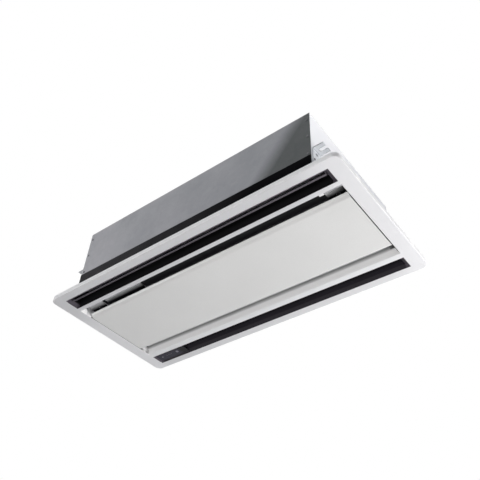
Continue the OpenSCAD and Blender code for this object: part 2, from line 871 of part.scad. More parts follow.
// A rail under one end of the filter: a web, a ledge and an end stop
module filter_rail(x) {
  web = 2;
  y = filter_half_w - lid_roll;
  top = face_z + lid_wall;
  mid_x = (filter_x0 + filter_x1) / 2;
  s = x < mid_x ? -1 : 1;
  a = x + s * slip;
  b = x + s * (slip + web);
  c = x - s * filter_bar;
  block(min(a, b), max(a, b), -y, y, top, filter_z1 + slip + web);
  block(min(a, c), max(a, c), -y, y, rail_z - slip - web, rail_z - slip);
  d = x - s * rail_hook;
  block(min(a, d), max(a, d), -y, y, filter_z1 + slip, filter_z1 + slip + web);
}

module latch_guide() {
  wall = 2;
  x1 = lid_x - lid_wall;
  x0 = x1 - latch_l;
  top = face_z + lid_wall;
  difference() {
    block(x0, x1, latch_y - latch_w / 2 - wall - slip, latch_y + latch_w / 2 + wall + slip,
      top, latch_z + latch_h / 2 + wall + slip);
    block(x0 - cut, x1 + cut, latch_y - latch_w / 2 - slip, latch_y + latch_w / 2 + slip,
      latch_z - latch_h / 2 - slip, latch_z + latch_h / 2 + slip);
  }
}

module latch() {
  wall = 2;
  tab = 3;
  x1 = slot_x + latch_past;
  x0 = lid_x - lid_wall - latch_l - latch_travel - tab;
  block(x0, x1, latch_y - latch_w / 2, latch_y + latch_w / 2, latch_z - latch_h / 2, latch_z + latch_h / 2);
  block(x0, x0 + tab, latch_y - latch_w / 2, latch_y + latch_w / 2, latch_z - latch_h / 2,
    latch_z + latch_h / 2 + 2 * wall);
}

module right_latch() {
  color("#bfc3c8") latch();
}

module left_latch() {
  color("#bfc3c8") mirror([1, 0, 0]) latch();
}

module hinge_pins() {
  head_t = 2;
  head_r = hinge_pin_r + 2;
  x0 = lid_x - lug_gap - lug_t;
  color("#a6a9ad") both_ends() {
    rod_x(x0, slot_x + panel_wall, hinge_y, hinge_z, hinge_pin_r);
    rod_x(slot_x + panel_wall, slot_x + panel_wall + head_t, hinge_y, hinge_z, head_r);
  }
}

// Filter: a frame with ribs that carries a fine black net

mesh_t = 1;
rib_w = 3;

module filter_frame() {
  y = filter_half_w;
  span = filter_x1 - filter_x0 - 2 * filter_bar;
  ribs = floor(span / (3 * mesh_pitch));
  color("#2b2b2e") difference() {
    block(filter_x0, filter_x1, -y, y, filter_z0, filter_z1);
    difference() {
      block(filter_x0 + filter_bar, filter_x1 - filter_bar, -y + filter_bar, y - filter_bar,
        filter_z0 - cut, filter_z1 + cut);
      block(filter_x0, filter_x1, -rib_w / 2, rib_w / 2, filter_z0 - 2 * cut, filter_z1 + 2 * cut);
      for (i = [1:ribs]) translate([filter_x0 + filter_bar + i * span / (ribs + 1), 0, 0])
        block(-rib_w / 2, rib_w / 2, -y, y, filter_z0 - 2 * cut, filter_z1 + 2 * cut);
    }
    block(filter_x0 + rib_w, filter_x1 - rib_w, -y + rib_w, y - rib_w, filter_z1 - mesh_t, filter_z1 + cut);
  }
}

module filter_mesh() {
  y = filter_half_w;
  color("#151517") block(filter_x0 + rib_w, filter_x1 - rib_w, -y + rib_w, y - rib_w,
    filter_z1 - mesh_t, filter_z1);
}

// Seal between the tray and the drain pan, round the intake
module intake_seal() {
  wide = 18;
  color("#2a2a2c") difference() {
    block(-intake_x - wide, intake_x + wide, -cove_y, cove_y, tray_top_z, pan_z0);
    block(-intake_x, intake_x, -cove_y + seal_y, cove_y - seal_y, tray_top_z - cut, pan_z0 + cut);
  }
}

seal_y = 2.5;

// Plenum: black box walls from the filter up to the fan deck, with a flange round the filter

plenum_wall = 2;
plenum_gap = 0.5;
plenum_x = intake_x - plenum_gap;
plenum_y = cove_y - seal_y - plenum_gap;
flange_gap = 3.4;
flange_z0 = filter_z1 + 2 * slip + flange_gap;
flange_t = 2;
flange_y = filter_half_w - filter_bar;
service_x0 = -intake_x + service_in;
service_x1 = service_x0 + service_l;

module intake_plenum() {
  color("#1f1f22") difference() {
    block(-plenum_x, plenum_x, -plenum_y, plenum_y, flange_z0, deck_z);
    block(-plenum_x + plenum_wall, plenum_x - plenum_wall, -plenum_y + plenum_wall, plenum_y - plenum_wall,
      flange_z0 + flange_t, deck_z + cut);
    block(filter_x0 + filter_bar, filter_x1 - filter_bar, -flange_y, flange_y, flange_z0 - cut,
      flange_z0 + flange_t + cut);
    block(service_x0 - seat, service_x1 + seat, -box_y - seat, box_y + seat, flange_z0 - cut,
      flange_z0 + flange_t + cut);
  }
}

// Service bay: control box under the fan deck, closed from below by a white cover

box_side_gap = 25;
box_y = plenum_y - box_side_gap;
box_wall = 1.5;
box_z0 = flange_z0;

module control_box() {
  color("#c4c8cc") difference() {
    block(service_x0, service_x1, -box_y, box_y, box_z0, deck_z);
    block(service_x0 + box_wall, service_x1 - box_wall, -box_y + box_wall, box_y - box_wall,
      box_z0 - cut, deck_z - box_wall);
  }
}

cover_gap = 3;

module service_cover() {
  y = plenum_y - cover_gap;
  color("#e8e8ea") {
    block(service_x0, service_x1, -y, y, box_z0 - service_t, box_z0);
    block(service_x0 + box_wall + slip, service_x1 - box_wall - slip, -box_y + box_wall + slip,
      -box_y + 2 * box_wall + slip, box_z0, box_z0 + 3 * service_t);
    block(service_x0 + box_wall + slip, service_x1 - box_wall - slip, box_y - 2 * box_wall - slip,
      box_y - box_wall - slip, box_z0, box_z0 + 3 * service_t);
  }
}

module control_board() {
  margin = 12;
  part_h = 14;
  relay = 16;
  z = deck_z - box_wall;
  foot_h = 6;
  z1 = z - foot_h;
  z0 = z1 - board_t;
  x0 = service_x0 + margin;
  x1 = service_x1 - margin;
  y0 = -box_y + margin;
  y1 = box_y / 3;
  color("#2f6b45") {
    block(x0, x1, y0, y1, z0, z1);
    for (x = [x0 + margin, x1 - margin], y = [y0 + margin, y1 - margin]) rod_z(x, y, z1, z, post_r);
    for (i = [0:3]) block(x0 + margin + 2 * i * relay, x0 + margin + (2 * i + 1) * relay, y0 + margin,
      y0 + margin + relay, z0 - part_h, z0);
    rod_z((x0 + x1) / 2, (y0 + y1) / 2, z0 - part_h, z0, relay / 2);
    block(x0 + margin, x1 - 3 * margin, y1 - 2 * relay, y1 - relay, z0 - part_h, z0);
  }
}

module terminal_block() {
  ways = 6;
  way = 14;
  deep = 26;
  tall = 18;
  z1 = deck_z - box_wall;
  x0 = service_x0 + 2 * way;
  y1 = box_y - 2 * way;
  screw_top = 5;
  color("#3b3b40") difference() {
    block(x0, x0 + ways * way, y1 - deep, y1, z1 - tall, z1);
    for (i = [0:ways - 1]) rod_z(x0 + (i + 0.5) * way, y1 - deep / 2, z1 - tall - cut,
      z1 - tall + screw_top, screw_top);
  }
}

// Cable inlet in the left end
gland_r = 14;
gland_flange_r = 18;
gland_flange_t = 3;
gland_l = 12;
gland_y = -body_y * 0.55;
gland_z = body_z0 + body_h * 0.45;

module cable_gland() {
  x = -body_x;
  color("#2d2d30") difference() {
    union() {
      rod_x(x, x + gland_l, gland_y, gland_z, gland_r);
      rod_x(x - gland_flange_t, x, gland_y, gland_z, gland_flange_r);
    }
    rod_x(x - gland_flange_t - cut, x + gland_l + cut, gland_y, gland_z, cable_r);
  }
}

// Fan deck with its two bell mouths

deck_gap = 1.5;

module fan_deck() {
  y = coil_y0 - deck_gap;
  color("#b4b7bb") difference() {
    block(-plenum_x, plenum_x, -y, y, deck_z, deck_top_z);
    for (x = fan_xs) rod_z(x, 0, deck_z - cut, deck_top_z + cut, bell_r + bell_lip_r);
  }
}

// A flange, a quarter round that narrows to the throat, and the throat itself
module bell_mouth(x) {
  wide_r = bell_r + bell_lip_r;
  color("#303034") translate([x, 0, deck_top_z]) rotate_extrude() {
    translate([wide_r, bell_lip_r]) difference() {
      circle(bell_lip_r);
      circle(bell_lip_r - bell_wall);
      translate([0, -2 * bell_lip_r]) square([2 * bell_lip_r, 4 * bell_lip_r]);
      translate([-2 * bell_lip_r, 0]) square([4 * bell_lip_r, 2 * bell_lip_r]);
    }
    translate([wide_r, 0]) square([bell_flange, bell_wall]);
    translate([bell_r, bell_lip_r]) square([bell_wall, bell_h - bell_lip_r]);
  }
}

module left_bell_mouth() {
  bell_mouth(fan_xs[0]);
}

module right_bell_mouth() {
  bell_mouth(fan_xs[1]);
}

// Fan wheels: backward-curved blades between a back plate and a shroud ring

blade_z0 = deck_top_z + bell_h + bell_gap;
blade_in_share = 0.62;
blade_sweep = 38;

module blade() {
  r0 = fan_r * blade_in_share;
  r1 = fan_r - bell_wall;
  p0 = [r0, 0];
  p1 = [r1 * cos(blade_sweep), r1 * sin(blade_sweep)];
  mid = [(p0[0] + p1[0]) / 2 + blade_t * 2, (p0[1] + p1[1]) / 2 - blade_t * 2];
  d = [blade_t / 2, -blade_t / 2];
  polygon([p0 - d, mid - d, p1 - d, p1 + d, mid + d, p0 + d]);
}

module fan_wheel(x) {
  ring_in = fan_inlet_r;
  translate([x, 0, 0]) difference() {
    union() {
      translate([0, 0, blade_z0]) linear_extrude(fan_z1 - blade_z0)
        for (i = [0:blade_count - 1]) rotate(i * 360 / blade_count) blade();
      rod_z(0, 0, fan_z1, fan_z1 + wheel_t, fan_r);
      translate([0, 0, fan_z0]) rotate_extrude() polygon([
        [ring_in, 0], [ring_in + wheel_t, 0], [ring_in + wheel_t, shroud_h / 2],
        [fan_r, shroud_h], [fan_r, shroud_h + wheel_t], [ring_in, shroud_h / 2 + wheel_t]
      ]);
      rod_z(0, 0, fan_z1 - hub_h, fan_z1, hub_r);
    }
    rod_z(0, 0, fan_z1 - hub_h - cut, fan_z1 + wheel_t + cut, shaft_r + fit);
    translate([0, 0, fan_z0]) rotate_extrude() polygon([
      [ring_in + wheel_t, -cut], [fan_r + cut, -cut], [fan_r + cut, shroud_h], [fan_r, shroud_h],
      [ring_in + wheel_t, shroud_h / 2]
    ]);
  }
}

module left_fan_wheel() {
  color("#3f3f45") fan_wheel(fan_xs[0]);
}

module right_fan_wheel() {
  color("#3f3f45") fan_wheel(fan_xs[1]);
}

shaft_tail = 8;
shaft_nut_h = 6;
shaft_in = 20;

// The shaft with the nut that holds the wheel
module fan_shaft(x) {
  color("#9da0a5") {
    rod_z(x, 0, fan_z1 - hub_h - shaft_nut_h - shaft_tail, motor_z0 + shaft_in, shaft_r);
    translate([x, 0, fan_z1 - hub_h - shaft_nut_h]) cylinder(h = shaft_nut_h, r = 2 * shaft_r, $fn = 6);
  }
}

module left_fan_shaft() {
  fan_shaft(fan_xs[0]);
}

module right_fan_shaft() {
  fan_shaft(fan_xs[1]);
}

// Fan motors hang from a three-legged bracket under the top plate
motor_nose_r = 14;
motor_nose_h = 6;
bracket_r = 80;
bracket_hole_r = 70;
bracket_t = 2;
bracket_leg_r = 10;
grommet_r = 8;

module fan_motor(x) {
  color("#8d9096") difference() {
    union() {
      rod_z(x, 0, motor_z0, motor_z1, motor_r);
      rod_z(x, 0, motor_z0 - motor_nose_h, motor_z0, motor_nose_r);
    }
    rod_z(x, 0, motor_z0 - motor_nose_h - cut, motor_z0 + shaft_in + slip, shaft_r + fit);
  }
}

module left_fan_motor() {
  fan_motor(fan_xs[0]);
}

module right_fan_motor() {
  fan_motor(fan_xs[1]);
}

grommet_h = 4;
bracket_z = motor_z1 + grommet_h;
grommet_place_r = 40;

module motor_brackets() {
  top = body_z1 - sheet;
  color("#a7aab0") for (x = fan_xs) translate([x, 0, 0]) difference() {
    union() {
      rod_z(0, 0, bracket_z, bracket_z + bracket_t, bracket_r);
      for (a = [0, 120, 240]) rotate(a) rod_z(bracket_hole_r, 0, bracket_z, top, bracket_leg_r - bracket_t);
    }
    for (a = [0, 120, 240]) rotate(a) rod_z(bracket_hole_r, 0, top - screw_len, top + cut, screw_hole_r);
    for (a = [60, 180, 300]) rotate(a)
      rod_z(grommet_place_r, 0, bracket_z - cut, bracket_z + bracket_t + cut, grommet_r / 2 + seat);
  }
}

module motor_grommets() {
  color("#202022") for (x = fan_xs) translate([x, 0, 0]) for (a = [60, 180, 300]) rotate(a)
    translate([grommet_place_r, 0, 0]) {
      rod_z(0, 0, motor_z1, bracket_z, grommet_r);
      rod_z(0, 0, bracket_z, bracket_z + bracket_t, grommet_r / 2);
    }
}

// Heat exchanger: two finned blocks, one tube circuit per level, and end plates

module tube_places() {
  for (i = [0:tube_count - 1]) for (s = [-1, 1])
    translate([0, coil_y + s * tube_row, tube_z0 + i * coil_tube_pitch]) children();
}

module coil_fins() {
  color("#c5cbd2") difference() {
    block(coil_x0, coil_x1, coil_y0, coil_y1, coil_z0, coil_z1);
    tube_places() rod_x(coil_x0 - cut, coil_x1 + cut, 0, 0, coil_tube_r + fit);
  }
}

module far_coil_fins() {
  coil_fins();
}

module near_coil_fins() {
  mirror([0, 1, 0]) coil_fins();
}

module coil_end_plates() {
  color("#b0b4b8") both_sides() for (x = [coil_x0 - end_plate_t, coil_x1]) difference() {
    block(x, x + end_plate_t, coil_y0, coil_y1, trough_z, coil_z1);
    tube_places() rod_x(x - cut, x + end_plate_t + cut, 0, 0, coil_tube_r + fit);
  }
}

bend_in = 5;
header_share = 1.2;
gas_in = 22;
header_pitch = 20;
gas_x = coil_x0 - gas_in;
liquid_x = gas_x - header_pitch;

// Tubes with a bend at the right end of each pair
module coil_tubes() {
  color("#b8703f") both_sides() for (i = [0:tube_count - 1])
    translate([0, coil_y, tube_z0 + i * coil_tube_pitch]) {
      rod_x(gas_x + gas_pipe_r * header_share, coil_x1 + bend_in, -tube_row, 0, coil_tube_r);
      rod_x(liquid_x + liquid_pipe_r * header_share, coil_x1 + bend_in, tube_row, 0, coil_tube_r);
      translate([coil_x1 + bend_in, 0, 0]) rotate(-90) rotate_extrude(angle = 180)
        translate([tube_row, 0]) circle(coil_tube_r);
    }
}

header_past = 8;
cross_share = 1.1;
cross_rise = 14;
gas_z = coil_z1 - cross_rise;
liquid_z = coil_z1 - 4 * cross_rise;
gas_y = -60;
liquid_y = -10;
pipe_gap = 2;
nut_share = 1.75;
nut_l = 16;
union_tail = 18;
pipe_bore_share = 0.7;

// Capped headers beside both coils, joined across the top, with the stub through the left end
module pipe_run(x, row, z, y, r) {
  header_r = r * header_share;
  both_sides() rod_z(x, coil_y + row, tube_z0 - header_past, z + header_r, header_r);
  rod_y(x, -coil_y - row, coil_y + row, z, r * cross_share);
  rod_x(-body_x - pipe_out + union_tail + nut_l / 2, x, y, z, r);
}

module gas_pipe() {
  color("#b8703f") pipe_run(gas_x, -tube_row, gas_z, gas_y, gas_pipe_r);
}

module liquid_pipe() {
  color("#b8703f") pipe_run(liquid_x, tube_row, liquid_z, liquid_y, liquid_pipe_r);
}

// A brass union: a hexagon that takes the unit's pipe, and a plain end for the room's pipe
module pipe_union(y, z, r) {
  x0 = -body_x - pipe_out;
  x1 = x0 + union_tail;
  difference() {
    union() {
      translate([x1, y, z]) rotate([0, 90, 0]) cylinder(h = nut_l, r = r * nut_share, $fn = 6);
      rod_x(x0, x1, y, z, r);
    }
    rod_x(x1 + nut_l / 2, x1 + nut_l + cut, y, z, r + fit);
    rod_x(x0 - cut, x1 + nut_l, y, z, r * pipe_bore_share);
  }
}

module pipe_unions() {
  color("#c9a44a") {
    pipe_union(gas_y, gas_z, gas_pipe_r);
    pipe_union(liquid_y, liquid_z, liquid_pipe_r);
  }
}

// Drain pan under the coils, with its pump, float and outlet

module drain_pan() {
  color("#e9e9e6") difference() {
    block(-pan_out_x, pan_out_x, -pan_out_y, pan_out_y, pan_z0, pan_z1);
    block(-pan_in_x, pan_in_x, -pan_in_y, pan_in_y, pan_z0 - cut, pan_z1 + cut);
    difference() {
      block(-pan_out_x + pan_wall, pan_out_x - pan_wall, -pan_out_y + pan_wall, pan_out_y - pan_wall,
        trough_z, pan_z1 + cut);
      block(-pan_in_x - pan_wall, pan_in_x + pan_wall, -pan_in_y - pan_in_lip, pan_in_y + pan_in_lip,
        trough_z - cut, pan_z1 + 2 * cut);
    }
  }
}

pan_in_lip = 1;
pump_x = -intake_x + pump_r + 8;
pump_foot_r = 5;
pump_gap = 1;
suction_r = 4;
strip_x = -(pan_in_x + pan_out_x) / 2;
drain_y = 110;
drain_z = body_z0 + body_h * 0.72;
drain_pipe_share = 0.94;
drain_bore_share = 0.8;
drain_tail = 40;

module drain_pump() {
  z1 = deck_top_z + pump_h;
  color("#e4e4e0") {
    rod_z(pump_x, drain_y, deck_top_z, z1, pump_r);
    rod_z(pump_x, drain_y, z1, z1 + pump_r / 2, pump_r * 0.7);
    rod_z(strip_x, drain_y, trough_z + pump_gap, deck_top_z + pump_r, suction_r);
    rod_x(strip_x, pump_x, drain_y, deck_top_z + pump_r, suction_r);
    translate([strip_x, drain_y, deck_top_z + pump_r]) sphere(suction_r);
    rod_z(strip_x, float_y, trough_z + pump_gap, float_top_z, float_stem_r);
    block(strip_x - suction_r, strip_x + suction_r, float_y - suction_r, drain_y, float_top_z,
      float_top_z + suction_r);
  }
}

float_y = 70;
float_r = 5;
float_h = 9;
float_stem_r = 2;
float_travel = 10;
float_stop = 1;
float_top_z = trough_z + pump_gap + 2 * float_stop + float_h + float_travel;

module drain_float() {
  z0 = trough_z + pump_gap;
  color("#d9d2b8") difference() {
    rod_z(strip_x, float_y, z0, z0 + float_h, float_r);
    rod_z(strip_x, float_y, z0 - cut, z0 + float_h + cut, float_stem_r + slip);
  }
}

// Hose from the pump to the outlet at the left end
module drain_pipe() {
  z0 = deck_top_z + pump_h + pump_r / 2;
  pipe_r = drain_r * drain_pipe_share;
  inner_r = drain_r * drain_bore_share;
  color("#dfe0dc") difference() {
    union() {
      rod_z(pump_x, drain_y, z0, drain_z, pipe_r);
      rod_x(-body_x - pipe_out, -body_x - pipe_out + drain_tail, drain_y, drain_z, drain_r);
      rod_x(-body_x - pipe_out + drain_tail, pump_x, drain_y, drain_z, pipe_r);
      translate([pump_x, drain_y, drain_z]) sphere(pipe_r);
    }
    rod_x(-body_x - pipe_out - cut, pump_x, drain_y, drain_z, inner_r);
    rod_z(pump_x, drain_y, z0 - cut, drain_z, inner_r);
  }
}

top_plate();
near_side_panel();
far_side_panel();
left_end_panel();
right_end_panel();
near_foam_band();
far_foam_band();
near_liner();
far_liner();
hanger_brackets();
cabinet_screws();
panel_frame();
panel_brackets();
panel_screws();
near_outlet_frame();
far_outlet_frame();
vane_bushes();
near_vane_motor();
far_vane_motor();
near_vane();
far_vane();
receiver_window();
receiver_board();
receiver_lamps();
test_button();
hinge_pins();
intake_panel();
left_latch();
right_latch();
filter_frame();
filter_mesh();
intake_seal();
intake_plenum();
service_cover();
control_box();
control_board();
terminal_block();
cable_gland();
fan_deck();
left_bell_mouth();
right_bell_mouth();
left_fan_wheel();
right_fan_wheel();
left_fan_shaft();
right_fan_shaft();
left_fan_motor();
right_fan_motor();
motor_brackets();
motor_grommets();
near_coil_fins();
far_coil_fins();
coil_tubes();
coil_end_plates();
gas_pipe();
liquid_pipe();
pipe_unions();
drain_pan();
drain_pump();
drain_pipe();
drain_float();
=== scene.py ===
import math

import bpy
from mathutils import Matrix, Vector


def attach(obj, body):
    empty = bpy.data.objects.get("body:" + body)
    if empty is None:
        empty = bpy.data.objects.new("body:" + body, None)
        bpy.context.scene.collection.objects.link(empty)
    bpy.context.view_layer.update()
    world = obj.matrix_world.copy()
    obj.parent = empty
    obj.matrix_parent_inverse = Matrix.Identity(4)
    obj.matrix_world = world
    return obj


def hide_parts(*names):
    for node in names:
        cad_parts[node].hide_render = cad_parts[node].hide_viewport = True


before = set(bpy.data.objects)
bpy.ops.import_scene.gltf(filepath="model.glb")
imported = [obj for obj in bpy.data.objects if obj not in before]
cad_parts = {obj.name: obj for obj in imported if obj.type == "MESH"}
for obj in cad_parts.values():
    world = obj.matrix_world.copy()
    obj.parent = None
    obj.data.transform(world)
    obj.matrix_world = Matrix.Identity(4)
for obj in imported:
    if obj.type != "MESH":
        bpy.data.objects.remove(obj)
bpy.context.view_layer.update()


# The view.
# The camera stands below the unit, off its near right corner, and looks up along it with a lens
# a little longer than normal.

eye = (1.2868, -1.4882, -1.5359)
view_right = Vector((0.79222, 0.60858, 0.04496))
view_ahead = Vector((-0.47711, 0.57177, 0.66742))
lens_mm, sensor_mm = 45.873, 36.0
nearest, farthest = 0.02, 60.0

bpy.ops.object.camera_add(location=eye)
camera = bpy.context.object
camera.name = "photographer"
camera.rotation_euler = Matrix(
    (view_right, view_right.cross(view_ahead), -view_ahead)).transposed().to_euler()
camera.data.lens = lens_mm
camera.data.sensor_width = sensor_mm
camera.data.clip_start = nearest
camera.data.clip_end = farthest
bpy.context.scene.camera = camera
bpy.context.scene.view_settings.view_transform = "Standard"


# The room.
# A pale matt floor lies 2.45 m below the ceiling line. A broad lamp stands low on the right,
# where the photograph's light comes from, and weaker ones soften the other sides.

floor_z, floor_size = -2.45, 18.0
floor_grey, floor_pale, pale_share = (0.86, 0.86, 0.87), (0.93, 0.93, 0.935), 0.72
sky_light, sky_strength = (0.90, 0.93, 1.0), 0.10
white, warm_white, cool_white = (1.0, 1.0, 1.0), (1.0, 0.99, 0.98), (0.97, 0.97, 1.0)


def put(tree, kind, settings=None, **inputs):
    """Adds a shader node, sets it, and links or fills the inputs that are named."""
    made = tree.nodes.new("ShaderNode" + kind)
    for name, value in (settings or {}).items():
        setattr(made, name, value)
    for name, value in inputs.items():
        socket = made.inputs[int(name[1:]) if name[1:].isdigit() else name.replace("_", " ")]
        if isinstance(value, bpy.types.NodeSocket):
            tree.links.new(value, socket)
        else:
            socket.default_value = (*value, 1.0) if socket.type == "RGBA" else value
    return made


def calc(tree, operation, a, b=0.0):
    """The result of a Math node on one or two values."""
    return put(tree, "Math", {"operation": operation}, i0=a, i1=b).outputs[0]


def seen_by(tree, *kinds):
    """1 for the rays of these kinds, and 0 for all others."""
    rays = put(tree, "LightPath").outputs
    seen = rays[f"Is {kinds[0]} Ray"]
    for kind in kinds[1:]:
        seen = calc(tree, "MAXIMUM", seen, rays[f"Is {kind} Ray"])
    return seen


world = bpy.data.worlds.new("pale_studio")
bpy.context.scene.world = world
world.use_nodes = True
sky = world.node_tree
sky.nodes.clear()
sky_mix = put(sky, "MixShader", None, i0=seen_by(sky, "Camera", "Glossy", "Transmission"),
              i1=put(sky, "Background", None, Color=sky_light, Strength=sky_strength).outputs[0],
              i2=put(sky, "Background", None, Color=white, Strength=1.0).outputs[0])
put(sky, "OutputWorld", None, Surface=sky_mix.outputs[0])

for name, place, aim, size, watts, colour in (
        ("lamp_low_right", (2.2, 1.5, -1.0), (0.15, 0.0, 0.0), 0.7, 61.0, warm_white),
        ("lamp_front", (0.9, -4.0, -2.0), (0.0, 0.0, 0.0), 1.0, 66.0, warm_white),
        ("lamp_left_side", (-2.3, -1.9, 0.4), (-0.6, -0.3, 0.15), 1.2, 9.0, cool_white),
        ("lamp_above", (0.6, 0.8, 3.2), (0.0, 0.0, 0.3), 2.6, 80.0, white),
        ("lamp_behind", (-1.2, 3.4, 0.6), (0.0, 0.3, 0.1), 2.0, 55.0, white)):
    bpy.ops.object.light_add(type="AREA", location=place)
    lamp = bpy.context.object
    lamp.name = name
    lamp.data.shape = "SQUARE"
    lamp.data.size = size
    lamp.data.energy = watts
    lamp.data.color = colour
    lamp.rotation_euler = (Vector(place) - Vector(aim)).to_track_quat("Z", "Y").to_euler()

bpy.ops.mesh.primitive_plane_add(size=floor_size, location=(0.0, 0.0, floor_z))
floor = bpy.context.object
floor.name = "studio_floor"
floor_paint = bpy.data.materials.new("matt_floor_paint")
floor_paint.use_nodes = True
floor_tree = floor_paint.node_tree
floor_tree.nodes.clear()
# The floor shows pale to the camera and in reflections, and still takes the object's shadow
floor_mix = put(floor_tree, "MixShader", None,
                i0=calc(floor_tree, "MULTIPLY", seen_by(floor_tree, "Camera", "Glossy"), pale_share),
                i1=put(floor_tree, "BsdfPrincipled", None, Base_Color=floor_grey, Roughness=0.95).outputs[0],
                i2=put(floor_tree, "Emission", None, Color=floor_pale, Strength=1.0).outputs[0])
put(floor_tree, "OutputMaterial", None, Surface=floor_mix.outputs[0])
floor.data.materials.append(floor_paint)


# Body sheets.
# The long sides and the top are hot-dip galvanised steel, 1.5 mm thick, folded at their edges and
# screwed together. The zinc dries in crystals and dulls in patches. The ends are coated off-white.

def place_in(tree):
    """Where a point of a piece is, in the frame's metres."""
    return put(tree, "TexCoord").outputs["Object"]


def axes_in(tree):
    """The same place as its X, Y and Z."""
    return put(tree, "SeparateXYZ", None, Vector=place_in(tree)).outputs


def spread(tree, value, low, high, to_low=0.0, to_high=1.0):
    """Maps a value's range onto another, and clamps it."""
    return put(tree, "MapRange", None, Value=value, From_Min=low, From_Max=high,
               To_Min=to_low, To_Max=to_high).outputs["Result"]


def blend_colours(tree, share, first, second):
    """The first colour, with a share of the second laid over it."""
    return put(tree, "Mix", {"data_type": "RGBA"}, i0=share, i6=first, i7=second).outputs[2]


def shade(colour, times, plus=0.0):
    """A colour made darker or lighter."""
    return tuple(min(1.0, c * times + plus) for c in colour)


def new_group(name, inputs, outputs):
    """A node group with its inputs' first values, its entry and its exit."""
    group = bpy.data.node_groups.new(name, "ShaderNodeTree")
    for label, value in inputs:
        socket = group.interface.new_socket(name=label, in_out="INPUT", socket_type="NodeSocketFloat")
        socket.default_value = value
    for label, kind in outputs:
        group.interface.new_socket(name=label, in_out="OUTPUT", socket_type="NodeSocket" + kind)
    return group, group.nodes.new("NodeGroupInput").outputs, group.nodes.new("NodeGroupOutput").inputs


def use_group(tree, group, **values):
    """A group placed in a material with its own values."""
    made = tree.nodes.new("ShaderNodeGroup")
    made.node_tree = group
    for name, value in values.items():
        made.inputs[name].default_value = value
    return made.outputs


# Edges: how round they look, and where handling and tooling have rubbed them
edge_start, edge_full = 0.985, 0.80
rub_start, rub_full = 0.42, 0.66
worn_edges, said, gives = new_group(
    "worn_edges", [("Radius", 0.0008), ("Amount", 0.5)], [("Worn", "Float"), ("Round", "Vector")])
rounding = put(worn_edges, "Bevel", {"samples": 6}, Radius=said["Radius"])
true_face = put(worn_edges, "NewGeometry")
facing = put(worn_edges, "VectorMath", {"operation": "DOT_PRODUCT"},
             i0=rounding.outputs["Normal"], i1=true_face.outputs["Normal"])
rub = put(worn_edges, "TexNoise", None, Vector=place_in(worn_edges), Scale=38.0, Detail=4.0)
worn = calc(worn_edges, "MULTIPLY", spread(worn_edges, facing.outputs["Value"], edge_start, edge_full),
            spread(worn_edges, rub.outputs["Fac"], rub_start, rub_full))
worn_edges.links.new(calc(worn_edges, "MULTIPLY", worn, said["Amount"]), gives["Worn"])
worn_edges.links.new(rounding.outputs["Normal"], gives["Round"])

# Grain: fine moulded or rolled texture, with cloudy patches of tone
speck_share = 0.23
fine_grain, said, gives = new_group(
    "fine_grain", [("Grain", 700.0), ("Patch", 5.0), ("Stretch", 1.0)],
    [("Height", "Float"), ("Cloud", "Float"), ("Speck", "Float")])
place = place_in(fine_grain)
stretched = put(fine_grain, "CombineXYZ", None, X=said["Stretch"], Y=1.0, Z=1.0).outputs[0]
drawn = put(fine_grain, "VectorMath", {"operation": "MULTIPLY"}, i0=place, i1=stretched).outputs["Vector"]
pits = put(fine_grain, "TexNoise", None, Vector=drawn, Scale=said["Grain"], Detail=3.0, Roughness=0.6)
cloud = put(fine_grain, "TexNoise", None, Vector=place, Scale=said["Patch"], Detail=5.0, Roughness=0.55)
speck = put(fine_grain, "TexNoise", None, Vector=drawn,
            Scale=calc(fine_grain, "MULTIPLY", said["Grain"], speck_share), Detail=4.0)
fine_grain.links.new(pits.outputs["Fac"], gives["Height"])
fine_grain.links.new(spread(fine_grain, cloud.outputs["Fac"], 0.30, 0.70), gives["Cloud"])
fine_grain.links.new(spread(fine_grain, speck.outputs["Fac"], 0.35, 0.65), gives["Speck"])

# Zinc: large and small crystals, each with its own tone, and slow dull patches
flower_bend, small_times = (0.028, 0.028, 0.028), 3.1
large_share, small_share = 0.6, 0.4
zinc, said, gives = new_group(
    "zinc_flowers", [("Size", 42.0)], [("Tone", "Float"), ("Dull", "Float"), ("Height", "Float")])
place = place_in(zinc)
wander = put(zinc, "TexNoise", None, Vector=place, Scale=26.0, Detail=3.0)
bent = put(zinc, "VectorMath", {"operation": "MULTIPLY_ADD"}, i0=wander.outputs["Color"],
           i1=flower_bend, i2=place).outputs["Vector"]
flower = put(zinc, "TexVoronoi", {"feature": "F1"}, Vector=bent, Scale=said["Size"])
small_flower = put(zinc, "TexVoronoi", {"feature": "F1"}, Vector=bent,
                   Scale=calc(zinc, "MULTIPLY", said["Size"], small_times))
flower_tone = put(zinc, "SeparateColor", None, Color=flower.outputs["Color"]).outputs[0]
small_tone = put(zinc, "SeparateColor", None, Color=small_flower.outputs["Color"]).outputs[1]
dull = put(zinc, "TexNoise", None, Vector=place, Scale=5.5, Detail=6.0, Roughness=0.62)
zinc.links.new(calc(zinc, "ADD", calc(zinc, "MULTIPLY", flower_tone, large_share),
                    calc(zinc, "MULTIPLY", small_tone, small_share)), gives["Tone"])
zinc.links.new(spread(zinc, dull.outputs["Fac"], 0.34, 0.68), gives["Dull"])
zinc.links.new(flower.outputs["Distance"], gives["Height"])


def start_finish(name, metal=0.0):
    """A material with its shader and output, ready for its own nodes."""
    material = bpy.data.materials.new(name)
    material.use_nodes = True
    tree = material.node_tree
    tree.nodes.clear()
    shader = put(tree, "BsdfPrincipled", None, Metallic=metal)
    put(tree, "OutputMaterial", None, Surface=shader.outputs[0])
    return material, tree, shader


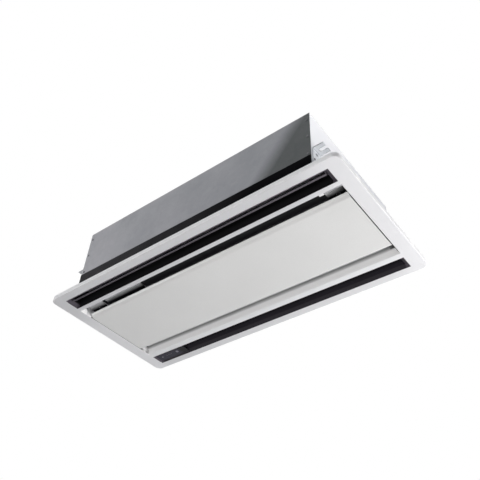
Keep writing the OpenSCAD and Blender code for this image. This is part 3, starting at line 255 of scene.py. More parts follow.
def feed(tree, shader, colour, rough, height, depth, rounded=None, strength=1.0):
    """Gives a shader its colour and roughness, and a fine relief over its rounded edges."""
    relief = put(tree, "Bump", None, Height=height, Strength=strength, Distance=depth)
    if rounded:
        tree.links.new(rounded, relief.inputs["Normal"])
    tree.links.new(colour, shader.inputs["Base Color"])
    tree.links.new(rough, shader.inputs["Roughness"])
    tree.links.new(relief.outputs[0], shader.inputs["Normal"])


def plain_finish(name, colour, rough, metal=0.0, grain=700.0, depth=0.00005, patch=5.0, stretch=1.0,
                 vary=0.07, edge=0.0008, worn=0.5, worn_colour=None, specular=0.5, tone=None):
    """A moulded, painted or drawn surface: its own colour in faint clouds, a fine grain, and
    edges that are rounded and rubbed."""
    material, tree, shader = start_finish(name, metal)
    edges = use_group(tree, worn_edges, Radius=edge, Amount=worn)
    texture = use_group(tree, fine_grain, Grain=grain, Patch=patch, Stretch=stretch)
    light = shade(colour, 1.0 + vary * 0.6)
    toned = blend_colours(tree, texture["Cloud"], shade(colour, 1.0 - vary), light)
    flecked = blend_colours(tree, spread(tree, texture["Speck"], 0.0, 1.0, 0.0, 0.35), toned, light)
    if tone:
        flecked = tone(tree, flecked)
    rubbed = blend_colours(tree, edges["Worn"], flecked, worn_colour or shade(colour, 1.25, 0.03))
    feed(tree, shader, rubbed, spread(tree, texture["Cloud"], 0.0, 1.0, rough - 0.05, rough + 0.05),
         texture["Height"], depth, edges["Round"])
    shader.inputs["Specular IOR Level"].default_value = specular
    return material


def sheet_finish(name, bright, dim, size=42.0, edge=0.0010, rough=0.44, metal=0.35, tone=None, edge_shade_colour=None):
    """Galvanised sheet: crystals that hardly show, slow dull patches, and bright worn edges, or edges painted
    dark as painted shade where an edge shade colour is given.
    """
    material, tree, shader = start_finish(name, metal)
    flowers = use_group(tree, zinc, Size=size)
    edges = use_group(tree, worn_edges, Radius=edge, Amount=5.0 if edge_shade_colour else 0.5)
    clouded = blend_colours(tree, flowers["Dull"], bright, dim)
    crystal = blend_colours(tree, spread(tree, flowers["Tone"], 0.0, 1.0, 0.0, 0.22), clouded,
                            shade(dim, 0.82))
    if tone:
        crystal = tone(tree, crystal)
    edged = blend_colours(tree, edges["Worn"], crystal, edge_shade_colour or shade(bright, 1.3))
    roughness = calc(tree, "ADD", spread(tree, flowers["Tone"], 0.0, 1.0, -0.05, 0.05),
                     spread(tree, flowers["Dull"], 0.0, 1.0, rough - 0.03, rough + 0.07))
    feed(tree, shader, edged, roughness, flowers["Height"], 0.00008, edges["Round"], strength=0.4)
    return material


def let_go():
    """Leaves edit mode with nothing selected, because an operator acts on all that is selected."""
    if bpy.context.object and bpy.context.object.mode == "EDIT":
        bpy.ops.object.mode_set(mode="OBJECT")
    bpy.ops.object.select_all(action="DESELECT")


def take(piece):
    """Selects one piece alone, for the next operator."""
    let_go()
    piece.select_set(True)
    bpy.context.view_layer.objects.active = piece


def modify(piece, kind, **settings):
    """Adds a modifier with its settings and applies it."""
    take(piece)
    modifier = piece.modifiers.new(kind.lower(), kind)
    for name, value in settings.items():
        setattr(modifier, name, value)
    bpy.ops.object.modifier_apply(modifier=modifier.name)


def soften(piece, radius, steps=2, angle=35.0):
    """Rounds a piece's sharp edges, and shades its curves smooth and its flats flat."""
    if radius:
        modify(piece, "BEVEL", width=radius, segments=steps, limit_method="ANGLE",
               angle_limit=math.radians(angle), use_clamp_overlap=True)
    take(piece)
    bpy.ops.object.shade_smooth_by_angle(angle=math.radians(angle))
    modify(piece, "WEIGHTED_NORMAL", keep_sharp=True)


def moulded_from(node, name, radius, steps=2):
    """A piece on a solid's own shape, with its edges rounded as pressed or moulded ones are."""
    piece = bpy.data.objects.new(name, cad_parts[node].data.copy())
    bpy.context.scene.collection.objects.link(piece)
    piece.data.materials.clear()
    take(piece)
    bpy.ops.object.mode_set(mode="EDIT")
    bpy.ops.mesh.select_all(action="SELECT")
    bpy.ops.mesh.remove_doubles(threshold=2e-6)
    bpy.ops.mesh.dissolve_limited(angle_limit=math.radians(0.6))
    soften(piece, radius, steps)
    return piece


def fit(piece, material, body, slot, *nodes):
    """Paints a finished piece, hangs it on the body it rides on, and hides the nodes it stands for. The slot
    is not used.
    """
    piece.data.materials.clear()
    piece.data.materials.append(material)
    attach(piece, body)
    if nodes:
        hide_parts(*nodes)


def remould(node, material, body, slot, radius, steps=2):
    """A solid's rounded piece, fitted in its node's place."""
    fit(moulded_from(node, node + "_piece", radius, steps), material, body, slot, node)


def add_side_painted_shade(tree, clean):
    """The near side is painted darker from left to right as painted shade, and dark past a slanting line near
    its right end as a painted reflection.
    """
    lean, side_shade_grey, side_reflection_grey = 0.746, (0.20, 0.215, 0.235), (0.030, 0.037, 0.036)
    where = axes_in(tree)
    slant = calc(tree, "SUBTRACT", where["X"], calc(tree, "MULTIPLY", where["Z"], lean))
    side_shaded = blend_colours(tree, spread(tree, slant, -0.50, 0.24, 0.0, 0.45), clean, side_shade_grey)
    return blend_colours(tree, spread(tree, slant, 0.238, 0.335, 0.0, 0.87), side_shaded, side_reflection_grey)


# The near side's zinc is its own copy of the finish, carrying painted shade and a painted dark reflection
near_zinc = sheet_finish("galvanised_near_side", (0.385, 0.384, 0.412), (0.335, 0.342, 0.366),
                         tone=add_side_painted_shade)
sheet_zinc = sheet_finish("galvanised_sheet", (0.36, 0.365, 0.38), (0.30, 0.305, 0.315))
end_paint = plain_finish("white_coated_end_sheet", (0.665, 0.675, 0.715), 0.36, grain=420.0, depth=0.00004,
                         patch=3.0, vary=0.05, edge=0.0022, worn=3.0, worn_colour=(0.42, 0.43, 0.46))
remould("near_side_panel", near_zinc, "cassette", "galvanised_steel", 0.0007)
remould("far_side_panel", sheet_zinc, "cassette", "galvanised_steel", 0.0007)
remould("left_end_panel", end_paint, "cassette", "coated_steel", 0.0006)
remould("right_end_panel", end_paint, "cassette", "coated_steel", 0.0006)


def settle(piece, name):
    """Names a new piece, and puts its place, turn and size into its mesh."""
    piece.name = piece.data.name = name
    take(piece)
    bpy.ops.object.transform_apply(location=True, rotation=True, scale=True)
    return piece


def new_block(name, corner, opposite):
    """A block between two opposite corners."""
    low, high = zip(*(sorted(pair) for pair in zip(corner, opposite)))
    let_go()
    bpy.ops.mesh.primitive_cube_add(size=1.0, location=[(a + b) / 2 for a, b in zip(low, high)])
    bpy.context.object.scale = [b - a for a, b in zip(low, high)]
    return settle(bpy.context.object, name)


def new_rod(name, start, end, radius, sides=48):
    """A round rod between two points."""
    let_go()
    run = Vector(end) - Vector(start)
    bpy.ops.mesh.primitive_cylinder_add(vertices=sides, radius=radius, depth=run.length,
                                        location=(Vector(start) + Vector(end)) / 2)
    bpy.context.object.rotation_euler = run.to_track_quat("Z", "Y").to_euler()
    return settle(bpy.context.object, name)


def near(value, place, reach=2e-6):
    """Whether two lengths are the same, but for rounding."""
    return abs(value - place) < reach


def pick(piece, kind, wanted):
    """Opens a piece for editing with only the wanted faces, edges or points selected."""
    take(piece)
    bpy.ops.object.mode_set(mode="EDIT")
    bpy.ops.mesh.select_mode(type=kind)
    bpy.ops.mesh.select_all(action="DESELECT")
    bpy.ops.object.mode_set(mode="OBJECT")
    points = piece.data.vertices
    if kind == "FACE":
        for face in piece.data.polygons:
            face.select = wanted(face.center)
    elif kind == "EDGE":
        for edge in piece.data.edges:
            edge.select = wanted(*(points[i].co for i in edge.vertices))
    else:
        for point in points:
            point.select = wanted(point.co)
    bpy.ops.object.mode_set(mode="EDIT")


def cut_out(piece, *cutters):
    """Takes the cutters' shapes out of a piece, and removes the cutters."""
    for cutter in cutters:
        modify(piece, "BOOLEAN", operation="DIFFERENCE", solver="EXACT", object=cutter)
        bpy.data.objects.remove(cutter)


def join(name, first, *others):
    """Makes several pieces one, under a new name."""
    take(first)
    for piece in others:
        piece.select_set(True)
    bpy.ops.object.join()
    first.name = first.data.name = name
    return first


def copy_to(piece, name, matrix):
    """A copy with its own mesh, moved by a matrix that is put into the mesh."""
    copy = piece.copy()
    copy.data = piece.data.copy()
    bpy.context.scene.collection.objects.link(copy)
    copy.matrix_world = matrix
    return settle(copy, name)


# Pressed ribs stiffen the top: a ring round each motor and straight ones across the rest
top_z, rib_r, ring_r, rib_half_y = 0.334, 0.0016, 0.107, 0.220
fan_xs = (-0.210, 0.270)
straight_rib_xs = (-0.500, -0.400, 0.030, 0.450, 0.530)
top_ribs = []
for x in fan_xs:
    let_go()
    bpy.ops.mesh.primitive_torus_add(major_radius=ring_r, minor_radius=rib_r, major_segments=96,
                                     minor_segments=12, location=(x, 0.0, top_z))
    top_ribs.append(settle(bpy.context.object, "ring_rib"))
for x in straight_rib_xs:
    top_ribs.append(new_rod("rib", (x, -rib_half_y, top_z), (x, rib_half_y, top_z), rib_r, 16))
for rib in top_ribs:
    soften(rib, 0.0, angle=50.0)
top_plate = join("ribbed_top_plate", moulded_from("top_plate", "ribbed_top_plate", 0.0006), *top_ribs)
fit(top_plate, sheet_zinc, "cassette", "galvanised_steel", "top_plate")


# Body screws.
# Forty zinc-plated 4 mm screws, with pan heads and cross recesses, hold the sheets, the hanger and
# panel brackets and the motor brackets. One is made and the others are copies of it.

head_r, head_h, head_round = 0.0045, 0.0024, 0.0013
shank_r, shank_l, shank_in = 0.0019, 0.0078, 0.0004
recess_w, recess_l, recess_d = 0.0009, 0.0046, 0.0012
screw = new_rod("screw", (0, 0, 0), (0, 0, head_h), head_r, 24)
pick(screw, "EDGE", lambda a, b: near(a.z, head_h) and near(b.z, head_h))
bpy.ops.mesh.bevel(offset=head_round, segments=4, affect="EDGES")
for half_x, half_y in ((recess_l / 2, recess_w / 2), (recess_w / 2, recess_l / 2)):
    cut_out(screw, new_block("recess", (-half_x, -half_y, head_h - recess_d),
                             (half_x, half_y, head_h + recess_d)))
screw = join("screw", screw, new_rod("shank", (0, 0, -shank_l), (0, 0, shank_in), shank_r, 12))
soften(screw, 0.0)

body_x, side_y, sheet_t, bracket_t = 0.590, 0.300, 0.0015, 0.003
screw_in, top_shares, side_screw_zs = 0.012, (-0.92, -0.46, 0.0, 0.46, 0.92), (0.1095, 0.20375, 0.298)
hanger_screw_y, hanger_screw_step, hanger_screw_z = 0.266, 0.017, 0.084
bracket_screw_y, bracket_screw_z = 0.150, 0.080
motor_screw_r, motor_screw_turns = 0.070, (0.0, 120.0, 240.0)
head_turn = 37.0
up, outward_x, outward_y = Vector((0, 0, 1)), Vector((1, 0, 0)), Vector((0, 1, 0))
places = []
for across in (-1.0, 1.0):
    for share in top_shares:
        places.append(((share * (body_x - sheet_t), across * (side_y - screw_in), top_z), up))
    for along in (-1.0, 1.0):
        end_x = along * (body_x + bracket_t)
        for z in side_screw_zs:
            places.append(((along * (body_x - screw_in), across * side_y, z), across * outward_y))
        for y in (hanger_screw_y - hanger_screw_step, hanger_screw_y + hanger_screw_step):
            places.append(((end_x, across * y, hanger_screw_z), along * outward_x))
        places.append(((end_x, across * bracket_screw_y, bracket_screw_z), along * outward_x))
for x in fan_xs:
    for turn in map(math.radians, motor_screw_turns):
        places.append(((x + motor_screw_r * math.cos(turn), motor_screw_r * math.sin(turn), top_z), up))
screws = []
for number, (place, way) in enumerate(places):
    screws.append(copy_to(screw, f"screw_{number}", Matrix.Translation(place)
                          @ way.to_track_quat("Z", "Y").to_matrix().to_4x4()
                          @ Matrix.Rotation(math.radians(head_turn * number), 4, "Z")))
bpy.data.objects.remove(screw)
body_screws = join("body_screws", *screws)
screw_steel = plain_finish("grey_zinc_screw", (0.13, 0.135, 0.145), 0.40, metal=0.5, grain=1500.0, vary=0.1)
fit(body_screws, screw_steel, "cassette", "bright_steel", "cabinet_screws")


# Hanger and panel brackets.
# Four open forks of 3 mm galvanised steel, bent at a right angle, take the M10 hanger rods, and
# four smaller angles take the panel's screws. All are stamped and folded, with soft edges painted dark as
# shade.

bracket_zinc = sheet_finish("galvanised_bracket", (0.80, 0.82, 0.85), (0.62, 0.64, 0.67), size=90.0,
                            edge=0.0032, rough=0.38, metal=0.20, edge_shade_colour=(0.10, 0.11, 0.13))
remould("hanger_brackets", bracket_zinc, "cassette", "galvanised_steel", 0.0008, steps=3)
remould("panel_brackets", bracket_zinc, "cassette", "galvanised_steel", 0.0006)


# Foam bands.
# A strip of black closed-cell foam, 3 mm thick, is stuck along the foot of each long side to keep it
# from sweating. Its face is slightly uneven and its edges are soft.

def swell(piece, depth, size):
    """Presses a soft uneven surface into a piece by a cloud pattern."""
    pattern = bpy.data.textures.new(piece.name + "_swell", "CLOUDS")
    pattern.noise_scale = size
    pattern.noise_depth = 1
    modify(piece, "DISPLACE", texture=pattern, strength=depth, mid_level=0.5, texture_coords="LOCAL")


def slice_across(piece, axis, *places):
    """Cuts a piece's faces along planes across an axis, and keeps both sides."""
    normal = [1.0 if i == axis else 0.0 for i in range(3)]
    take(piece)
    bpy.ops.object.mode_set(mode="EDIT")
    for place in places:
        bpy.ops.mesh.select_all(action="SELECT")
        bpy.ops.mesh.bisect(plane_co=[place * n for n in normal], plane_no=normal, threshold=1e-6)
    let_go()


def cut_finely(piece, cell):
    """Cuts a block's faces across each axis into pieces of about a cell."""
    low, high = ([end(p.co[i] for p in piece.data.vertices) for i in range(3)] for end in (min, max))
    for axis in range(3):
        size = high[axis] - low[axis]
        count = max(1, round(size / cell))
        slice_across(piece, axis, *(low[axis] + size * n / count for n in range(1, count)))


def add_foam_painted_shade(tree, clean):
    """The foam is painted greyer toward the left end and deep black toward the right, as painted light and
    painted shade.
    """
    return blend_colours(tree, spread(tree, axes_in(tree)["X"], -0.45, 0.34), clean,
                         (0.0015, 0.0016, 0.0022))


band_low, band_high, band_t, band_shy = 0.001, 0.096, 0.003, 0.00035
foam = plain_finish("black_foam", (0.060, 0.059, 0.063), 0.85, grain=520.0, depth=0.0004, patch=9.0,
                    vary=0.30, edge=0.0008, worn=0.3, worn_colour=(0.05, 0.05, 0.054), specular=0.03,
                    tone=add_foam_painted_shade)
for side, name in ((-1.0, "near"), (1.0, "far")):
    band = new_block(f"{name}_foam_band_strip", (-body_x, side * side_y, band_low),
                     (body_x, side * (side_y + band_t - band_shy), band_high))
    modify(band, "BEVEL", width=0.0010, segments=3, limit_method="ANGLE")
    cut_finely(band, cell=0.019)
    swell(band, depth=0.0006, size=0.05)
    soften(band, 0.0)
    fit(band, foam, "cassette", "black_foam", f"{name}_foam_band")


# Fan deck and bell mouths.
# A galvanised deck 2 mm thick crosses the body above the intake. Under each fan it has a round hole
# with a moulded bell mouth: a flange, a quarter round and a short throat that feed the wheel.

deck_top_z, throat_top_z = 0.085, 0.1065
bell_flange_r, bell_lip_r, bell_round, bell_rise, bell_t = 0.1285, 0.117, 0.009, 0.010, 0.002
bell_steps = 6
# The inner sheet is a darker copy of the galvanised finish: painted shade for the parts deep inside the body
shaded_inner_zinc = sheet_finish("galvanised_inner_sheet", (0.32, 0.33, 0.35), (0.25, 0.26, 0.27), size=60.0)
black_moulding = plain_finish("matt_black_moulding", (0.020, 0.020, 0.023), 0.55, grain=600.0,
                              depth=0.00008, vary=0.15)


def push(x=0.0, y=0.0, z=0.0):
    """Extrudes what is selected by an offset, and leaves the new end selected."""
    bpy.ops.mesh.extrude_region_move(TRANSFORM_OT_translate={"value": (x, y, z)})


def weld(piece, reach=1e-5):
    """Merges doubled points, and turns all faces outward."""
    take(piece)
    bpy.ops.object.mode_set(mode="EDIT")
    bpy.ops.mesh.select_mode(type="VERT")
    bpy.ops.mesh.select_all(action="SELECT")
    bpy.ops.mesh.remove_doubles(threshold=reach)
    bpy.ops.mesh.normals_make_consistent(inside=False)
    let_go()


def draw_round(name, x, points, sides=96):
    """A ring on an upright axis, drawn out along a profile of radii and heights."""
    let_go()
    bpy.ops.mesh.primitive_circle_add(vertices=sides, radius=points[0][0], location=(x, 0.0, points[0][1]))
    shell = settle(bpy.context.object, name)
    pick(shell, "EDGE", lambda a, b: True)
    for (r_from, z_from), (r_to, z_to) in zip(points, points[1:]):
        push(z=z_to - z_from)
        bpy.ops.transform.resize(value=(r_to / r_from, r_to / r_from, 1.0), center_override=(x, 0.0, 0.0))
    weld(shell)
    return shell


remould("fan_deck", shaded_inner_zinc, "cassette", "galvanised_steel", 0.0006)
mouth_profile = [(bell_flange_r, deck_top_z + bell_t / 2)]
for turn in (math.radians(90.0 * n / bell_steps) for n in range(bell_steps + 1)):
    mouth_profile.append((bell_lip_r - bell_round * math.sin(turn),
                          deck_top_z + bell_rise - bell_round * math.cos(turn)))
mouth_profile.append((bell_lip_r - bell_round, throat_top_z))
for x, name in zip(fan_xs, ("left", "right")):
    mouth = draw_round(f"{name}_bell_ring", x, mouth_profile)
    modify(mouth, "SOLIDIFY", thickness=bell_t, offset=0.0, use_even_offset=True)
    soften(mouth, 0.0004)
    fit(mouth, black_moulding, "cassette", "black_plastic", f"{name}_bell_mouth")


# Fan wheels.
# Two backward-curved turbo wheels of glass-filled plastic, 320 mm across. Seven bowed blades stand
# between a back plate with a hub and a shroud ring whose neck takes the bell mouth's air.

wheel_r, wheel_top_z, wheel_t = 0.160, 0.251, 0.002
hub_r, hub_low_z, bore_r = 0.018, 0.221, 0.0042
neck_r, neck_low_z = 0.113, 0.101
blade_low_z, blade_in_plate, blade_t, blade_count, blade_steps = 0.110, 0.0005, 0.003, 7, 7
blade_in, blade_mid, blade_out = (0.0992, 0.0), (0.1179, 0.0426), (0.1240, 0.0965)
hub_profile = [  # radius and height, from the bore up the hub, out, over the plate and back
    (bore_r, hub_low_z), (hub_r, hub_low_z), (hub_r, 0.2465), (hub_r + 0.0015, 0.2497),
    (hub_r + 0.0045, wheel_top_z), (wheel_r, wheel_top_z), (wheel_r, wheel_top_z + wheel_t),
    (bore_r, wheel_top_z + wheel_t), (bore_r, hub_low_z)]
shroud_profile = [  # up the neck, round, and out under the blades
    (neck_r, neck_low_z), (neck_r, 0.1125), (neck_r + 0.0008, 0.1150), (neck_r + 0.0032, 0.1172),
    (neck_r + 0.007, 0.1188), (wheel_r, 0.132)]
trim_profile = [  # what the blades lose where the shroud slopes
    (neck_r + 0.001, 0.100), (wheel_r + 0.02, 0.100), (wheel_r + 0.02, 0.137), (wheel_r, 0.1315),
    (neck_r + 0.001, 0.1165), (neck_r + 0.001, 0.100)]
wheel_plastic = plain_finish("glass_filled_wheel", (0.055, 0.056, 0.062), 0.48, grain=900.0, depth=0.0001,
                             vary=0.15, worn=0.4)


def blade_point(share):
    """A point on the bow through the blade's inner, middle and outer ends."""
    return tuple(a * (1 - share) * (1 - 2 * share) + 4 * b * share * (1 - share) + c * share * (2 * share - 1)
                 for a, b, c in zip(blade_in, blade_mid, blade_out))


bow = [blade_point(n / blade_steps) for n in range(blade_steps + 1)]
(x0, y0), (x1, y1) = bow[:2]
let_go()
bpy.ops.mesh.primitive_plane_add(
    size=1.0, location=((x0 + x1) / 2, (y0 + y1) / 2, (blade_low_z + wheel_top_z) / 2))
bpy.context.object.scale = (math.hypot(x1 - x0, y1 - y0), wheel_top_z + blade_in_plate - blade_low_z, 1.0)
bpy.context.object.rotation_euler = (math.radians(90.0), 0.0, math.atan2(y1 - y0, x1 - x0))
blade = settle(bpy.context.object, "fan_blade")
pick(blade, "EDGE", lambda a, b: all(math.hypot(p.x - x1, p.y - y1) < 1e-5 for p in (a, b)))
for (x_from, y_from), (x_to, y_to) in zip(bow[1:], bow[2:]):
    push(x=x_to - x_from, y=y_to - y_from)
weld(blade)
modify(blade, "SOLIDIFY", thickness=blade_t, offset=0.0, use_even_offset=True)
cut_out(blade, draw_round("below_shroud", 0.0, trim_profile))
soften(blade, 0.0007)
back_plate = draw_round("back_plate", 0.0, hub_profile)
soften(back_plate, 0.0004)
shroud = draw_round("shroud", 0.0, shroud_profile)
modify(shroud, "SOLIDIFY", thickness=wheel_t, offset=0.0, use_even_offset=True)
soften(shroud, 0.0004)
blades = [copy_to(blade, "fan_blade", Matrix.Rotation(2.0 * math.pi * n / blade_count, 4, "Z"))
          for n in range(blade_count)]
bpy.data.objects.remove(blade)
wheel = join("fan_wheel", back_plate, shroud, *blades)
for x, name in zip(fan_xs, ("left", "right")):
    turning = copy_to(wheel, f"{name}_turbo_wheel", Matrix.Translation((x, 0.0, 0.0)))
    fit(turning, wheel_plastic, f"{name}_fan", "black_plastic", f"{name}_fan_wheel")
bpy.data.objects.remove(wheel)


# Fan motors.
# Each wheel hangs on the 8 mm steel shaft of a closed motor, under a nut. The motor is carried by
# three rubber grommets on a round steel bracket, which stands on three posts under the top plate.

shaft_steel = plain_finish("ground_shaft_steel", (0.55, 0.56, 0.58), 0.25, metal=0.9, grain=1500.0, vary=0.1)
motor_case = plain_finish("motor_case", (0.38, 0.39, 0.41), 0.40, metal=0.3)
black_rubber = plain_finish("black_rubber", (0.02, 0.02, 0.022), 0.7, grain=500.0, vary=0.2)
for name in ("left", "right"):
    remould(f"{name}_fan_shaft", shaft_steel, f"{name}_fan", "bright_steel", 0.0004)
    remould(f"{name}_fan_motor", motor_case, "cassette", "motor_case", 0.0015, steps=3)
remould("motor_brackets", shaded_inner_zinc, "cassette", "galvanised_steel", 0.0006)
remould("motor_grommets", black_rubber, "cassette", "rubber", 0.0006)


# Coils.
# Beside each long side stands a block of thin aluminium fins, pressed on the copper tubes that pass
# through them. A plate holds each end, and the tubes turn back in bends at the right.

fin_t, fin_pitch = 0.0004, 0.0024
fin_metal = plain_finish("bare_fins", (0.62, 0.64, 0.67), 0.38, metal=0.9, grain=900.0)
copper = plain_finish("bare_copper", (0.62, 0.30, 0.17), 0.30, metal=0.95, grain=400.0, vary=0.2,
                      worn_colour=(0.70, 0.38, 0.24))


def extent(node):
    """The lowest and the highest corner of a solid."""
    points = [point.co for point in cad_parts[node].data.vertices]
    return [[end(p[axis] for p in points) for axis in range(3)] for end in (min, max)]


for name in ("near", "far"):
    low, high = extent(f"{name}_coil_fins")
    stack = new_block(f"{name}_fin_stack", low, (low[0] + fin_t, high[1], high[2]))
    modify(stack, "ARRAY", count=int((high[0] - low[0] - fin_t) / fin_pitch) + 1, use_relative_offset=False,
           use_constant_offset=True, constant_offset_displace=(fin_pitch, 0.0, 0.0))
    fit(stack, fin_metal, "cassette", "fin_aluminium", f"{name}_coil_fins")
remould("coil_end_plates", shaded_inner_zinc, "cassette", "fin_aluminium", 0.0004)
remould("coil_tubes", copper, "cassette", "copper", 0.0)


# Pipes.
# A gas and a liquid pipe of bare copper join the headers of both coils across the top and leave by
# the left end. Brass unions end them: a hexagon, and a threaded tail for the room's pipe.

tail_x, tail_l, thread_start = -0.650, 0.016, 0.001
thread_pitch, thread_t, thread_high, thread_root = 0.0016, 0.0008, 0.0005, 0.0004
tails = ((-0.060, 0.296, 0.00794), (-0.010, 0.254, 0.00476))     # y, z and radius, gas and liquid
brass = plain_finish("machined_brass", (0.68, 0.50, 0.20), 0.25, metal=0.95, grain=900.0,
                     worn_colour=(0.78, 0.62, 0.32))
remould("gas_pipe", copper, "cassette", "copper", 0.0)
remould("liquid_pipe", copper, "cassette", "copper", 0.0)
threads = []
for y, z, radius in tails:
    for n in range(int(tail_l / thread_pitch)):
        x = tail_x + thread_start + n * thread_pitch
        ring = new_rod("thread", (x, y, z), (x + thread_t, y, z), radius + thread_high)
        cut_out(ring, new_rod("bore", (x - 0.001, y, z), (x + 0.002, y, z), radius - thread_root))
        threads.append(ring)
unions = join("brass_unions", moulded_from("pipe_unions", "brass_unions", 0.0006), *threads)
fit(unions, brass, "cassette", "brass", "pipe_unions")


# Drain pan, pump and hose.
# A deep tray of white bead foam catches the water of both coils. A float rides on a stem in its left
# end, and a small pump beside it lifts the water through a milky pipe to the outlet.

bead_foam, tree, shader = start_finish("white_bead_foam")
edges = use_group(tree, worn_edges, Radius=0.0015, Amount=0.3)
texture = use_group(tree, fine_grain, Grain=300.0, Patch=4.0, Stretch=1.0)
beads = put(tree, "TexVoronoi", {"feature": "F1"}, Vector=place_in(tree), Scale=260.0).outputs["Distance"]
beaded = blend_colours(tree, spread(tree, beads, 0.2, 0.8), (0.84, 0.84, 0.83), (0.68, 0.68, 0.66))
feed(tree, shader, blend_colours(tree, edges["Worn"], beaded, (0.76, 0.75, 0.72)),
     spread(tree, texture["Cloud"], 0.0, 1.0, 0.70, 0.85), beads, 0.0003, edges["Round"])
milky = plain_finish("milky_moulding", (0.78, 0.78, 0.75), 0.40, grain=900.0, vary=0.08)
remould("drain_pan", bead_foam, "cassette", "pan_foam", 0.0020, steps=3)
remould("drain_pump", milky, "cassette", "pump_plastic", 0.0008)
remould("drain_pipe", milky, "cassette", "pump_plastic", 0.0006)
remould("drain_float", milky, "drain_float", "pump_plastic", 0.0006)


# Control box and cable gland.
# A galvanised box under the deck holds the control board and the terminal block. The supply cable
# comes in through a rubber gland in the left end and is clamped at the terminals.

board_green = plain_finish("solder_mask", (0.04, 0.17, 0.085), 0.30, grain=300.0)
remould("control_box", shaded_inner_zinc, "cassette", "galvanised_steel", 0.0006)
remould("control_board", board_green, "cassette", "circuit_board", 0.0003)
remould("terminal_block", black_moulding, "cassette", "black_plastic", 0.0004)
remould("cable_gland", black_rubber, "cassette", "rubber", 0.0008, steps=3)


# Plenum and intake seal.
# A black moulded box leads the air from the filter up to the deck. Round it, a soft black foam
# frame is squeezed between the tray and the drain pan, so that no air gets past the filter.

seal_inner_x, seal_inner_y = 0.565, 0.1855
remould("intake_plenum", black_moulding, "cassette", "black_plastic", 0.0008)
seal_low, seal_high = extent("intake_seal")
seal = new_block("intake_seal_foam", seal_low, seal_high)
cut_out(seal, new_block("intake", (-seal_inner_x, -seal_inner_y, seal_low[2] - 0.001),
                        (seal_inner_x, seal_inner_y, seal_high[2] + 0.001)))
modify(seal, "BEVEL", width=0.0006, segments=2, limit_method="ANGLE")
cut_finely(seal, cell=0.022)
swell(seal, depth=0.0004, size=0.04)
soften(seal, 0.0)
fit(seal, foam, "cassette", "black_foam", "intake_seal")


# Decoration panel.
# A single white ABS moulding, 3 mm thick, that closes the ceiling opening: a flat face with soft
# corners, an outlet slot along each side, and a tray in the middle whose long walls curve inward.

face_z, panel_x, panel_y, panel_corner, panel_wall = -0.020, 0.7075, 0.340, 0.028, 0.003
slot_x, slot_in, slot_out, near_slot_in = 0.6505, 0.239, 0.303, 0.236
tray_y, near_tray_y, cove_y, cove_top, cove_steps = 0.211, 0.215, 0.188, 0.019, 10
end_zone_x = 0.565
rim_round, tray_round = 0.0022, 0.0035


def new_sheet(name, half_x, half_y, z):
    """A flat sheet about the middle of the unit."""
    let_go()
    bpy.ops.mesh.primitive_plane_add(size=2.0, location=(0.0, 0.0, z))
    bpy.context.object.scale = (half_x, half_y, 1.0)
    return settle(bpy.context.object, name)


def face_downward(piece):
    """Turns a shell's faces round if its flat face looks up."""
    weld(piece)
    flat = max(piece.data.polygons, key=lambda face: face.area)
    if flat.normal.z > 0.0:
        pick(piece, "FACE", lambda c: True)
        bpy.ops.mesh.flip_normals()
        let_go()


def shift(piece, wanted, x=0.0, y=0.0):
    """Moves a piece's wanted points."""
    pick(piece, "VERT", wanted)
    bpy.ops.transform.translate(value=(x, y, 0.0))
    let_go()


def stretch_y(piece, wanted, times, middle):
    """Stretches a piece's wanted points along Y about a middle."""
    pick(piece, "VERT", wanted)
    bpy.ops.transform.resize(value=(1.0, times, 1.0), center_override=(0.0, middle, 0.0))
    let_go()


def on_outline(p):
    """Whether a point of the flat face lies on the panel's outer edge."""
    past_x = abs(p.x) - (panel_x - panel_corner)
    past_y = abs(p.y) - (panel_y - panel_corner)
    if past_x > 0.0 and past_y > 0.0:
        return math.hypot(past_x, past_y) > panel_corner - 1e-4
    return max(past_x, past_y) > panel_corner - 1e-5


def on_tray_mouth(p):
    """Whether a point of the flat face lies on or inside the tray's edge."""
    return abs(p.x) < slot_x + 1e-6 and abs(p.y) < tray_y + 1e-6 and near(p.z, face_z)


panel = new_sheet("decoration_panel", panel_x, panel_y, face_z)
pick(panel, "VERT", lambda p: True)
bpy.ops.mesh.bevel(offset=panel_corner, segments=12, affect="VERTICES")
slice_across(panel, 0, -slot_x, -end_zone_x, end_zone_x, slot_x)
slice_across(panel, 1, -slot_out, -slot_in, -tray_y, tray_y, slot_in, slot_out)
pick(panel, "FACE", lambda c: abs(c.x) < slot_x and (abs(c.y) < tray_y or slot_in < abs(c.y) < slot_out))
bpy.ops.mesh.delete(type="FACE")
pick(panel, "EDGE", lambda a, b: on_outline(a) and on_outline(b))
push(z=-face_z)

# The tray's walls rise in steps; its long ones follow a quarter of an ellipse
pick(panel, "EDGE", lambda a, b: on_tray_mouth(a) and on_tray_mouth(b))
y_now, z_now = tray_y, face_z
for step in range(1, cove_steps + 1):
    turn = math.radians(90.0 * step / cove_steps)
    y_next = cove_y + (tray_y - cove_y) * math.cos(turn)
    z_next = face_z + (cove_top - face_z) * math.sin(turn)
    push(z=z_next - z_now)
    bpy.ops.transform.resize(value=(1.0, y_next / y_now, 1.0), center_override=(0.0, 0.0, 0.0))
    y_now, z_now = y_next, z_next
for side in (-1.0, 1.0):
    pick(panel, "EDGE", lambda a, b: all(near(p.x, side * slot_x) and near(p.z, cove_top) for p in (a, b)))
    push(x=side * (end_zone_x - slot_x))

